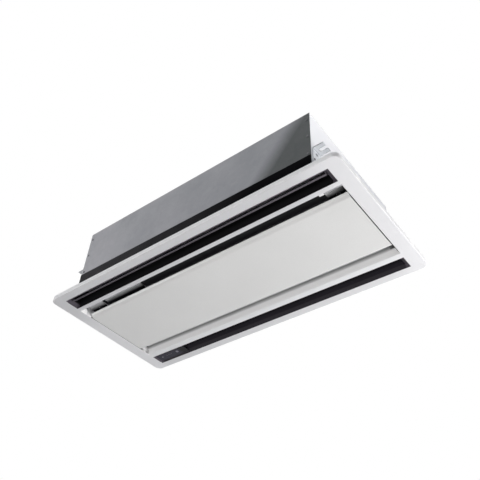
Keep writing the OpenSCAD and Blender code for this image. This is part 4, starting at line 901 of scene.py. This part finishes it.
# The near bar is the narrower one: the slot and the tray's wall stand closer together there
near_cove_times = (near_tray_y - cove_y) / (tray_y - cove_y)
stretch_y(panel, lambda p: -tray_y - 1e-5 < p.y < -cove_y, near_cove_times, -cove_y)
shift(panel, lambda p: near(p.y, -slot_in), y=slot_in - near_slot_in)
face_downward(panel)
modify(panel, "SOLIDIFY", thickness=panel_wall, offset=-1.0, use_even_offset=True)
pick(panel, "EDGE", lambda a, b: all(near(p.z, face_z) and on_outline(p) for p in (a, b)))
bpy.ops.mesh.bevel(offset=rim_round, segments=4, affect="EDGES")
pick(panel, "EDGE", lambda a, b: all(
    near(p.z, face_z) and abs(p.x) < slot_x + 1e-5 and (near(p.y, tray_y) or near(p.y, -near_tray_y))
    for p in (a, b)))
bpy.ops.mesh.bevel(offset=tray_round, segments=4, affect="EDGES")

hinge_y, hinge_z, hinge_r = 0.150, -0.004, 0.003
latch_y, latch_z, latch_w, latch_h = -0.130, -0.006, 0.014, 0.006
panel_screw_x, panel_screw_y = 0.604, 0.150
past, slip = 0.0015, 0.0003
way_y, way_z = latch_w / 2 + slip, latch_h / 2 + slip
for side in (-1.0, 1.0):
    inner, outer = sorted((side * (slot_x - past), side * (slot_x + panel_wall + past)))
    cut_out(panel,
            new_rod("pin_hole", (inner, hinge_y, hinge_z), (outer, hinge_y, hinge_z), hinge_r),
            new_block("latch_hole", (inner, latch_y - way_y, latch_z - way_z),
                      (outer, latch_y + way_y, latch_z + way_z)))
    for across in (-1.0, 1.0):
        place = (side * panel_screw_x, across * panel_screw_y)
        cut_out(panel, new_rod("screw_hole", place + (cove_top - past,),
                               place + (cove_top + panel_wall + past,), hinge_r))

# A small stop on the near bar keeps the intake panel from being pushed in
stop_x0, stop_x1, stop_y, stop_low_z, stop_top_z = 0.561, 0.580, -0.2078, -0.019, -0.0168
bar_stop = new_block("bar_stop", (stop_x0, -near_tray_y - 0.001, stop_low_z), (stop_x1, stop_y, stop_top_z))
panel = join("decoration_panel", panel, bar_stop)
soften(panel, 0.0004)


def add_tray_painted_light(tree, clean):
    """Painted light and shade: the long strips are painted greyer as shade, the rim painted whiter as light,
    and the tray's long walls are painted white by the bar and grey inward, as painted light and painted
    shade.
    """
    near_strip_shade, far_strip_shade, rim_painted_light = (0.655, 0.655, 0.668), (0.715, 0.715, 0.728), (0.95, 0.95, 0.96)
    wall_painted_light, wall_painted_shade = (0.97, 0.97, 0.97), (0.16, 0.16, 0.16)
    where = axes_in(tree)
    out = calc(tree, "ABSOLUTE", where["Y"])
    on_wall = calc(tree, "MULTIPLY", spread(tree, out, near_tray_y + 0.0003, near_tray_y - 0.0005),
                   calc(tree, "MULTIPLY", spread(tree, out, cove_y - 0.0030, cove_y - 0.0024),
                        spread(tree, where["Z"], face_z, face_z + 0.002)))
    painted_shading = blend_colours(tree, spread(tree, where["Z"], 0.004, 0.0185), wall_painted_light, wall_painted_shade)
    on_near_strip = calc(tree, "MULTIPLY", spread(tree, where["Y"], -0.05, -0.22),
                         spread(tree, where["X"], 0.67, 0.50))
    on_far_strip = calc(tree, "MULTIPLY", spread(tree, where["Y"], 0.23, 0.29),
                        spread(tree, calc(tree, "ABSOLUTE", where["X"]), 0.67, 0.60))
    face = blend_colours(tree, on_near_strip, clean, near_strip_shade)
    face = blend_colours(tree, on_far_strip, face, far_strip_shade)
    face = blend_colours(tree, spread(tree, out, panel_y - 0.0016, panel_y - 0.0008), face, rim_painted_light)
    return blend_colours(tree, on_wall, face, painted_shading)


panel_white = plain_finish("satin_white_panel", (0.80, 0.80, 0.815), 0.34, grain=1300.0, depth=0.00002,
                           patch=2.0, vary=0.03, edge=0.0012, worn=0.10, worn_colour=(0.84, 0.84, 0.84),
                           tone=add_tray_painted_light)
fit(panel, panel_white, "cassette", "white_plastic", "panel_frame")


# Intake panel.
# A flat white cover 2.5 mm thick with a dimpled face. Its long edges roll up in a quarter round, its
# ends have a low lip, and on its back sit the hinge lugs, the latch guides and the filter's rails.

lid_x, lid_y, lid_roll, lid_wall, lid_lip, roll_steps = 0.6475, 0.162, 0.018, 0.0025, 0.010, 9
lid_back = face_z + lid_wall
root = 0.0005
lug_r, lug_t, lug_gap, lug_in, lug_out, lug_taper = 0.0058, 0.006, 0.002, 0.010, 0.002, 0.9
guide_l, guide_wall = 0.026, 0.002
filter_low_x, filter_high_x, filter_y, filter_bar = -0.330, 0.558, 0.150, 0.010
rail_z, rail_t, rail_web, rail_hook, rail_lap = 0.014, 0.009, 0.002, 0.004, 0.001

lid = new_sheet("intake_cover", lid_x, lid_y - lid_roll, face_z)
for side in (-1.0, 1.0):
    pick(lid, "EDGE", lambda a, b: near(a.y, side * (lid_y - lid_roll)) and near(b.y, a.y))
    for step in range(roll_steps):
        start, end = (math.radians(90.0 * n / roll_steps) for n in (step, step + 1))
        push(y=side * lid_roll * (math.sin(end) - math.sin(start)),
             z=lid_roll * (math.cos(start) - math.cos(end)))
for side in (-1.0, 1.0):
    pick(lid, "EDGE", lambda a, b: all(
        near(p.x, side * lid_x) and p.z < face_z + lid_lip - 0.0005 for p in (a, b)))
    push(z=lid_lip)
    bpy.ops.transform.resize(value=(1.0, 1.0, 0.0), center_override=(0.0, 0.0, face_z + lid_lip))
face_downward(lid)
modify(lid, "SOLIDIFY", thickness=lid_wall, offset=-1.0, use_even_offset=True)

fittings = []
for side in (-1.0, 1.0):
    x0, x1 = sorted((side * (lid_x - lug_gap - lug_t), side * (lid_x - lug_gap)))
    web = new_block("lug_web", (x0, hinge_y - lug_in, lid_back - 2 * root), (x1, hinge_y + lug_out, hinge_z))
    stretch_y(web, lambda p: p.z > lid_back, lug_taper, hinge_y)
    eye_ring = new_rod("lug_eye", (x0, hinge_y, hinge_z), (x1, hinge_y, hinge_z), lug_r, 40)
    for bored in (web, eye_ring):
        cut_out(bored, new_rod("lug_bore", (x0 - past, hinge_y, hinge_z), (x1 + past, hinge_y, hinge_z),
                               hinge_r + slip / 2, 40))
    x0, x1 = sorted((side * (lid_x - lid_wall - guide_l), side * (lid_x - lid_wall + root)))
    guide = new_block("latch_guide", (x0, latch_y - way_y - guide_wall, lid_back - root),
                      (x1, latch_y + way_y + guide_wall, latch_z + way_z + guide_wall))
    cut_out(guide, new_block("guide_way", (x0 - past, latch_y - way_y, latch_z - way_z),
                             (x1 + past, latch_y + way_y, latch_z + way_z)))
    fittings += [web, eye_ring, guide]
rail_y, rail_top_z = filter_y - lid_roll, rail_z + rail_t + slip
for x, out in ((filter_low_x, -1.0), (filter_high_x, 1.0)):
    for first, last, low, high in (     # the web, the ledge below the filter and the hook above it
            (slip, slip + rail_web, lid_back - root, rail_top_z + rail_web),
            (rail_lap, -filter_bar, rail_z - slip - rail_web, rail_z - slip),
            (rail_lap, -rail_hook, rail_top_z, rail_top_z + rail_web)):
        fittings.append(new_block("filter_rail", (x + out * first, -rail_y, low),
                                  (x + out * last, rail_y, high)))
lid = join("intake_cover", lid, *fittings)
soften(lid, 0.0005)

# The face has a fine even dimple, like the skin of an orange, that the back's fittings share
dimple_pitch, painted_highlight_white = 330.0, (0.99, 0.99, 0.985)
dimples, said, gives = new_group("moulded_dimples", [("Pitch", dimple_pitch)], [("Height", "Float")])
cells = put(dimples, "TexVoronoi", {"feature": "SMOOTH_F1"}, Vector=place_in(dimples),
            Scale=said["Pitch"], Smoothness=0.6)
dimples.links.new(spread(dimples, cells.outputs["Distance"], 0.1, 0.7), gives["Height"])

cover_white, tree, shader = start_finish("dimpled_white_cover")
edges = use_group(tree, worn_edges, Radius=0.0010, Amount=0.10)
texture = use_group(tree, fine_grain, Grain=160.0, Patch=3.0, Stretch=1.0)
dimple = use_group(tree, dimples, Pitch=dimple_pitch)["Height"]
clean = blend_colours(tree, texture["Cloud"], (0.735, 0.735, 0.725), (0.775, 0.775, 0.765))
# The near edge's roll carries a painted highlight, strongest at the left
where = axes_in(tree)
on_roll = calc(tree, "MULTIPLY", spread(tree, where["Z"], -0.0135, -0.0110),
               spread(tree, where["Z"], -0.0045, -0.0070))
at_near_left = calc(tree, "MULTIPLY", spread(tree, where["Y"], -0.150, -0.152),
                    spread(tree, where["X"], 0.15, -0.20))
clean = blend_colours(tree, calc(tree, "MULTIPLY", on_roll, at_near_left), clean, painted_highlight_white)
tinted = blend_colours(tree, spread(tree, dimple, 0.0, 1.0, 0.0, 0.35), clean, (0.66, 0.66, 0.65))
feed(tree, shader, blend_colours(tree, edges["Worn"], tinted, (0.82, 0.82, 0.81)),
     spread(tree, texture["Speck"], 0.0, 1.0, 0.36, 0.46), dimple, 0.00012, edges["Round"])
fit(lid, cover_white, "intake_panel", "intake_white", "intake_panel")


# Panel screws, hinge pins and latches.
# Four blackened screws with nuts hold the panel to its brackets. Two short steel pins carry the
# intake panel's lugs, and two flat steel bolts slide in its guides and catch in the end walls.

black_steel = plain_finish("blackened_steel", (0.022, 0.022, 0.024), 0.45, metal=0.3, grain=1200.0, vary=0.15)
bolt_steel = plain_finish("bright_bolt_steel", (0.50, 0.51, 0.53), 0.32, metal=0.8, grain=1200.0, vary=0.10)
remould("panel_screws", black_steel, "cassette", "bright_steel", 0.0006)
remould("hinge_pins", bolt_steel, "cassette", "bright_steel", 0.0005)
remould("left_latch", bolt_steel, "left_latch", "bright_steel", 0.0005)
remould("right_latch", bolt_steel, "right_latch", "bright_steel", 0.0005)


# Service cover.
# A plain white moulded lid, 2 mm thick, closes the control box from below. Two short ribs on its
# back grip the box's walls.

remould("service_cover", panel_white, "cassette", "white_plastic", 0.0006)


# Filter.
# A black moulded frame with ribs slides in the rails on the back of the intake panel. A fine black
# net, its threads 1.5 mm apart, is stretched over the frame and welded to its rim.

net_t, net_pitch = 0.0003, 0.0015
hole_edge, thread_edge, thread_top = 0.30, 0.34, 0.50
remould("filter_frame", black_moulding, "filter", "black_plastic", 0.0006)

open_weave, said, gives = new_group("open_weave", [("Pitch", net_pitch)],
                                    [("Thread", "Float"), ("Height", "Float")])
where = axes_in(open_weave)
off_hole = []
for axis in ("X", "Y"):
    turn = calc(open_weave, "FRACT", calc(open_weave, "DIVIDE", where[axis], said["Pitch"]))
    off_hole.append(calc(open_weave, "ABSOLUTE", calc(open_weave, "SUBTRACT", turn, 0.5)))
farther = calc(open_weave, "MAXIMUM", *off_hole)
open_weave.links.new(spread(open_weave, farther, hole_edge, thread_edge), gives["Thread"])
open_weave.links.new(spread(open_weave, farther, hole_edge, thread_top), gives["Height"])

net_black, tree, shader = start_finish("woven_filter_net")
weave = use_group(tree, open_weave, Pitch=net_pitch)
texture = use_group(tree, fine_grain, Grain=900.0, Patch=9.0, Stretch=1.0)
feed(tree, shader, blend_colours(tree, texture["Cloud"], (0.010, 0.010, 0.012), (0.022, 0.022, 0.024)),
     spread(tree, texture["Cloud"], 0.0, 1.0, 0.55, 0.75), weave["Height"], 0.0001)
tree.links.new(weave["Thread"], shader.inputs["Alpha"])

net_low, net_high = extent("filter_mesh")
net_x, net_y = net_high[0] - net_low[0], net_high[1] - net_low[1]
let_go()
bpy.ops.mesh.primitive_plane_add(size=1.0, location=[(a + b) / 2 for a, b in zip(net_low, net_high)])
bpy.context.object.scale = (net_x, net_y, 1.0)
net = settle(bpy.context.object, "filter_net")
cut_finely(net, cell=0.049)
modify(net, "SOLIDIFY", thickness=net_t, offset=0.0)
soften(net, 0.0)
fit(net, net_black, "filter", "filter_net", "filter_mesh")


# Tray shade pieces.
# Black foam sheet on the tray's end ceilings and on the service cover, and thin foam tape along the inner
# edges of the tray's walls, where the intake panel meets them, and on its end walls, are painted shade: dark
# pieces set where the tray lies in shadow.

pad_t, pad_y, cover_pad_y, tape_t, head_clear = 0.0018, 0.1775, 0.1750, 0.0010, 0.0085
cover_low_z, cover_x0, cover_x1 = 0.0250, -0.552, -0.338
tape_steps, tape_last_turn, tape_up = 6, 88.0, 0.0006
pads = ((-slot_x, -end_zone_x, pad_y, cove_top), (cover_x0, cover_x1, cover_pad_y, cover_low_z),
        (end_zone_x, slot_x, pad_y, cove_top))     # two ends in X, half the width and the ceiling
cove_tapes = ((-1.0, cover_x1, end_zone_x, 40.0), (-1.0, -0.572, cover_x0, 40.0),
              (1.0, -slot_x + 0.002, slot_x - 0.032, 70.0),
              (1.0, slot_x - 0.032, slot_x - 0.002, 50.0))     # side, two ends in X and the first turn
end_tapes = ((-1.0, 0.1885, 0.2075, 0.0005), (1.0, lid_y - 0.002, 0.198, 0.012))     # end, Y to Y, top


def add_pad_painted_light(tree, clean):
    """Painted light: the pads are painted pale grey toward their long edges, but not where they near the
    right end wall.
    """
    where = axes_in(tree)
    along_edges = spread(tree, calc(tree, "ABSOLUTE", where["Y"]), 0.156, 0.177)
    painted_shading = calc(tree, "MULTIPLY", along_edges, spread(tree, where["X"], 0.645, 0.572))
    return blend_colours(tree, painted_shading, clean, (0.72, 0.72, 0.72))


def draw_strip(name, x0, x1, outline):
    """A strip along X, drawn out edge by edge along an outline of places in Y and Z."""
    (y0, z0), (y1, z1) = outline[:2]
    let_go()
    bpy.ops.mesh.primitive_plane_add(size=1.0, location=((x0 + x1) / 2, (y0 + y1) / 2, (z0 + z1) / 2))
    bpy.context.object.scale = (x1 - x0, math.hypot(y1 - y0, z1 - z0), 1.0)
    bpy.context.object.rotation_euler = (math.atan2(z1 - z0, y1 - y0), 0.0, 0.0)
    strip = settle(bpy.context.object, name)
    pick(strip, "EDGE", lambda a, b: near(a.y, y1, 1e-5) and near(b.y, y1, 1e-5))
    for (y_from, z_from), (y_to, z_to) in zip(outline[1:], outline[2:]):
        push(y=y_to - y_from, z=z_to - z_from)
    face_downward(strip)
    return strip


def mirror_over(piece, axis):
    """Turns a piece into its mirror image across the plane where the axis is zero."""
    piece.scale[axis] = -1.0
    settle(piece, piece.name)
    weld(piece, 0.0)
    return piece


tray_shade_foam = []
for x0, x1, half_y, ceiling in pads:
    pad = new_block("tray_shade_pad", (x0, -half_y, ceiling - pad_t), (x1, half_y, ceiling))
    if ceiling == cove_top:
        for across in (-1.0, 1.0):
            place = (math.copysign(panel_screw_x, x0), across * panel_screw_y)
            cut_out(pad, new_rod("clear_of_screw", place + (ceiling - 0.01,), place + (ceiling + 0.01,),
                                 head_clear))
    tray_shade_foam.append(pad)
for side, x0, x1, first_turn in cove_tapes:
    turns = (math.radians(first_turn + (tape_last_turn - first_turn) * n / tape_steps)
             for n in range(tape_steps + 1))
    tape = draw_strip("tray_shade_tape", x0, x1, [
        (cove_y + (tray_y - cove_y) * math.cos(turn), face_z + (cove_top - face_z) * math.sin(turn))
        for turn in turns])
    modify(tape, "SOLIDIFY", thickness=tape_t, offset=1.0)
    if side < 0.0:
        mirror_over(tape, 1)
        stretch_y(tape, lambda p: True, near_cove_times, -cove_y)
    tray_shade_foam.append(tape)
for side, start, end, top in end_tapes:
    wall, face = side * slot_x, side * (slot_x - tape_t)
    tray_shade_foam.append(new_block("end_shade_tape", (wall, -lid_y + 0.006, face_z + tape_up),
                               (face, 0.200, latch_z - 0.004)))
    tray_shade_foam.append(new_block("end_shade_tape", (wall, start, face_z + tape_up), (face, end, top)))
tray_shade_pieces = join("tray_painted_shade", *tray_shade_foam)
soften(tray_shade_pieces, 0.0003)
shade_pad_foam = plain_finish("painted_shade_black_foam", (0.006, 0.006, 0.007), 0.9, grain=520.0, depth=0.0004, patch=9.0,
                        vary=0.30, edge=0.0008, worn=0.2, worn_colour=(0.03, 0.03, 0.034), specular=0.03,
                        tone=add_pad_painted_light)
fit(tray_shade_pieces, shade_pad_foam, "cassette", "black_foam")


# Outlet frames, liners and end seals.
# Each slot has a dark moulded frame, bevelled round its outer edges, and above it a duct lined with
# moulded black foam. A foam strip shuts the gap between each duct's end and the body.

bevel_in, bevel_top, mitre_y, frame_low_z = 0.0165, -0.0095, 0.2880, -0.0185
web_out, web_t, web_shy = 0.0002, 0.0020, 0.0008
duct_top_z, duct_x, seal_t, seal_lap_x, seal_lap_y = 0.042, 0.5925, 0.004, 0.008, 0.0028
dark_plum, far_shade_plum, rubbed_plum = (0.080, 0.070, 0.086), (0.020, 0.017, 0.022), (0.10, 0.092, 0.108)
duct_shade_black = (0.0045, 0.0042, 0.0052)
outlet_dark, tree, shader = start_finish("dark_outlet_moulding")
edges = use_group(tree, worn_edges, Radius=0.0007, Amount=0.5)
texture = use_group(tree, fine_grain, Grain=900.0, Patch=6.0, Stretch=0.15)
where = axes_in(tree)
# The bevel is satin plum, painted darker along the far slot as painted shade, and all that stands above it is
# nearly black:
# dark plastic, painted darker as the duct's painted shade
mitre_x = slot_x - bevel_in
out_x, out_y = (calc(tree, "ABSOLUTE", where[axis]) for axis in ("X", "Y"))
on_bevel = calc(tree, "MAXIMUM", spread(tree, out_y, mitre_y - 0.0005, mitre_y + 0.0010),
                spread(tree, out_x, mitre_x - 0.0010, mitre_x + 0.0005))
on_far_shade = calc(tree, "MULTIPLY", spread(tree, where["Y"], -0.1, 0.1),
                   spread(tree, out_x, mitre_x + 0.0010, mitre_x - 0.0005))
satin = blend_colours(tree, texture["Cloud"], shade(dark_plum, 0.85), dark_plum)
satin = blend_colours(tree, on_far_shade, satin, far_shade_plum)
low_bevel = calc(tree, "MULTIPLY", on_bevel, spread(tree, where["Z"], 0.0, -0.010))
feed(tree, shader,
     blend_colours(tree, edges["Worn"], blend_colours(tree, low_bevel, duct_shade_black, satin), rubbed_plum),
     spread(tree, where["Z"], -0.018, 0.004, 0.36, 0.85), texture["Height"], 0.00004, edges["Round"])
shader.inputs["Specular IOR Level"].default_value = 0.22

end_seals = []
for side, name in ((-1.0, "near"), (1.0, "far")):
    corners = []
    for end in (-1.0, 1.0):
        corner = new_block("frame_corner", (end * (slot_x - web_out - web_t), side * mitre_y, frame_low_z),
                           (end * (slot_x - web_out), side * (slot_out - web_shy), bevel_top))
        shift(corner, lambda p: p.z > frame_low_z + 0.001, x=-end * bevel_in)
        corners.append(corner)
        end_seals.append(new_block("end_seal", (end * body_x, side * slot_in, duct_top_z),
                                   (end * (duct_x + seal_lap_x), side * (mitre_y + seal_lap_y),
                                    duct_top_z + seal_t)))
    moulding = moulded_from(f"{name}_outlet_frame", f"{name}_outlet_surround", 0.0007, steps=3)
    if side < 0.0:
        shift(moulding, lambda p: p.y > -slot_in - 0.0035 and p.z < -0.008, y=slot_in - near_slot_in)
    moulding = join(f"{name}_outlet_surround", moulding, *corners)
    fit(moulding, outlet_dark, "cassette", "dark_plastic", f"{name}_outlet_frame")
outlet_seals = join("outlet_end_seals", *end_seals)
soften(outlet_seals, 0.0008)
fit(outlet_seals, foam, "cassette", "black_foam")

duct = plain_finish("dark_duct_foam", (0.014, 0.013, 0.016), 0.9, grain=260.0, depth=0.0003, vary=0.2,
                    specular=0.12)
remould("near_liner", duct, "cassette", "duct_foam", 0.0015)
remould("far_liner", duct, "cassette", "duct_foam", 0.0015)


# Vanes.
# A bowed blade of dark plastic with fine ribs along it, an ear and a pin at each end. The pins turn
# in dark bushes, and the right ones go through to the stepper motors. They rest half open.

vane_x, vane_y, vane_z, vane_open = 0.631, 0.2835, -0.003, 51.6
far_vane_x0, idle_pin, motor_pin = -0.4625, 0.0055, 0.0222
chord_in, chord_out, vane_low, vane_bow, vane_t = 0.2435, 0.2912, -0.012, 0.005, 0.0022
ear_t, ear_in, ear_taper, boss_r, pin_r, pin_in = 0.003, 0.0135, 0.42, 0.004, 0.003, 0.001
groove_shares, groove_half, groove_d = (0.20, 0.34, 0.48, 0.62, 0.76), 0.010, 0.0005
chord_steps = 16


def bowed(share):
    """The blade's lower face at a share of its chord, in Y and Z, with the vane shut."""
    return (chord_in + share * (chord_out - chord_in),
            vane_low - vane_bow * (1.0 - (2.0 * share - 1.0) ** 2))


def make_vane(name, x0, x1):
    """A vane between two ends in X, shut, on the far side."""
    shares = {n / chord_steps for n in range(chord_steps + 1)}
    for middle in groove_shares:
        shares |= {middle + step * groove_half for step in (-1.6, -1.0, 1.0, 1.6)}
    outline = []
    for share in sorted(shares):
        y, z = bowed(share)
        in_groove = any(abs(share - middle) < groove_half * 1.2 for middle in groove_shares)
        outline.append((y, z + (groove_d if in_groove else 0.0)))
    blade = draw_strip(name, x0, x1, outline)
    modify(blade, "SOLIDIFY", thickness=vane_t, offset=-1.0, use_even_offset=True)
    soften(blade, 0.0004)
    parts = []
    ear_low_z = bowed(0.5)[1] + vane_t * 0.7
    for x, out, pin in ((x0, -1.0, idle_pin), (x1, 1.0, motor_pin)):
        inner, outer = sorted((x, x - out * ear_t))
        ear = new_block("ear", (inner, vane_y - ear_in, ear_low_z),
                        (outer, vane_y + boss_r * 0.8, vane_z + 0.001))
        stretch_y(ear, lambda p: p.z > vane_z, ear_taper, vane_y + boss_r * 0.4)
        boss = new_rod("boss", (inner, vane_y, vane_z), (outer, vane_y, vane_z), boss_r, 36)
        axle = new_rod("axle", (x - out * pin_in, vane_y, vane_z), (x + out * pin, vane_y, vane_z), pin_r, 36)
        parts += [ear, boss, axle]
    ends = join(name + "_ends", *parts)
    soften(ends, 0.0004)
    return join(name, blade, ends)


def open_up(vane):
    """Turns a shut vane about its pins to where it rests."""
    centre = Matrix.Translation((0.0, vane_y, vane_z))
    vane.matrix_world = centre @ Matrix.Rotation(math.radians(-vane_open), 4, "X") @ centre.inverted()
    return settle(vane, vane.name)


# The two vanes are the same dark plastic: the far vane's copy is painted darker as painted shade, and the
# near vane's copy is painted lighter as painted light
vane_shaded_copy = plain_finish("vane_moulding_painted_shade", (0.014, 0.012, 0.017), 0.40, grain=900.0, depth=0.00003,
                         patch=6.0, stretch=0.1, vary=0.15, edge=0.0005, worn=0.35,
                         worn_colour=(0.10, 0.092, 0.11), specular=0.09)
vane_lit_copy = plain_finish("vane_moulding_painted_light", (0.115, 0.104, 0.120), 0.40, grain=900.0, depth=0.00003,
                         patch=6.0, stretch=0.1, vary=0.2, edge=0.0005, worn=0.5,
                         worn_colour=(0.21, 0.20, 0.22), specular=0.14)
near_vane = mirror_over(open_up(make_vane("near_vane_blade", -vane_x, vane_x)), 1)
far_vane = open_up(make_vane("far_vane_blade", far_vane_x0, vane_x))
fit(near_vane, vane_lit_copy, "near_vane", "dark_plastic", "near_vane")
fit(far_vane, vane_shaded_copy, "far_vane", "dark_plastic", "far_vane")

bush_grey = plain_finish("slippery_grey_bush", (0.045, 0.045, 0.048), 0.5, specular=0.12)
remould("vane_bushes", bush_grey, "cassette", "dark_plastic", 0.0003)
remould("near_vane_motor", motor_case, "cassette", "motor_case", 0.0006)
remould("far_vane_motor", motor_case, "cassette", "motor_case", 0.0006)


# Receiver.
# A smoked window at the left end of the far outlet, held on two posts of its board. Behind its
# holes stand a domed lens, four signal lamps and a push-button for the test run.

def add_window_end_shade(tree, clean):
    """Painted shade: the window's right end, with nothing behind it, is painted nearly black."""
    return blend_colours(tree, spread(tree, axes_in(tree)["X"], -0.512, -0.500), clean,
                         (0.003, 0.003, 0.005))


smoke = plain_finish("smoked_window", (0.028, 0.026, 0.039), 0.20, grain=1400.0, depth=0.00001, vary=0.10,
                     edge=0.0006, worn=0.5, worn_colour=(0.12, 0.11, 0.15), specular=0.16,
                     tone=add_window_end_shade)
lens_grey = plain_finish("frosted_lens", (0.19, 0.18, 0.23), 0.16, grain=1400.0, depth=0.00001, specular=0.3)
lamp_grey = plain_finish("lamp_and_button_grey", (0.12, 0.112, 0.14), 0.30, grain=1400.0, depth=0.00001,
                         specular=0.25)
remould("receiver_window", smoke, "cassette", "window_smoke", 0.0005)
remould("receiver_board", board_green, "cassette", "circuit_board", 0.0002)
remould("receiver_lamps", lamp_grey, "cassette", "lamp_lens", 0.0003)
remould("test_button", lamp_grey, "test_button", "lamp_lens", 0.0005)

window_z, lens_x, bay_y, lens_r, lens_flat = -0.016, -0.5231, 0.2678, 0.0066, 0.26
let_go()
bpy.ops.mesh.primitive_uv_sphere_add(segments=32, ring_count=16, radius=lens_r,
                                     location=(lens_x, bay_y, window_z))
bpy.context.object.scale = (1.0, 1.0, lens_flat)
lens_dome = settle(bpy.context.object, "receiver_lens_dome")
pick(lens_dome, "VERT", lambda p: p.z > window_z + 0.0005)
bpy.ops.mesh.delete(type="VERT")
pick(lens_dome, "EDGE", lambda a, b: min(a.z, b.z) > window_z - 0.0004)
bpy.ops.mesh.edge_face_add()
weld(lens_dome, 1e-6)
soften(lens_dome, 0.0)
fit(lens_dome, lens_grey, "cassette", "lamp_lens")
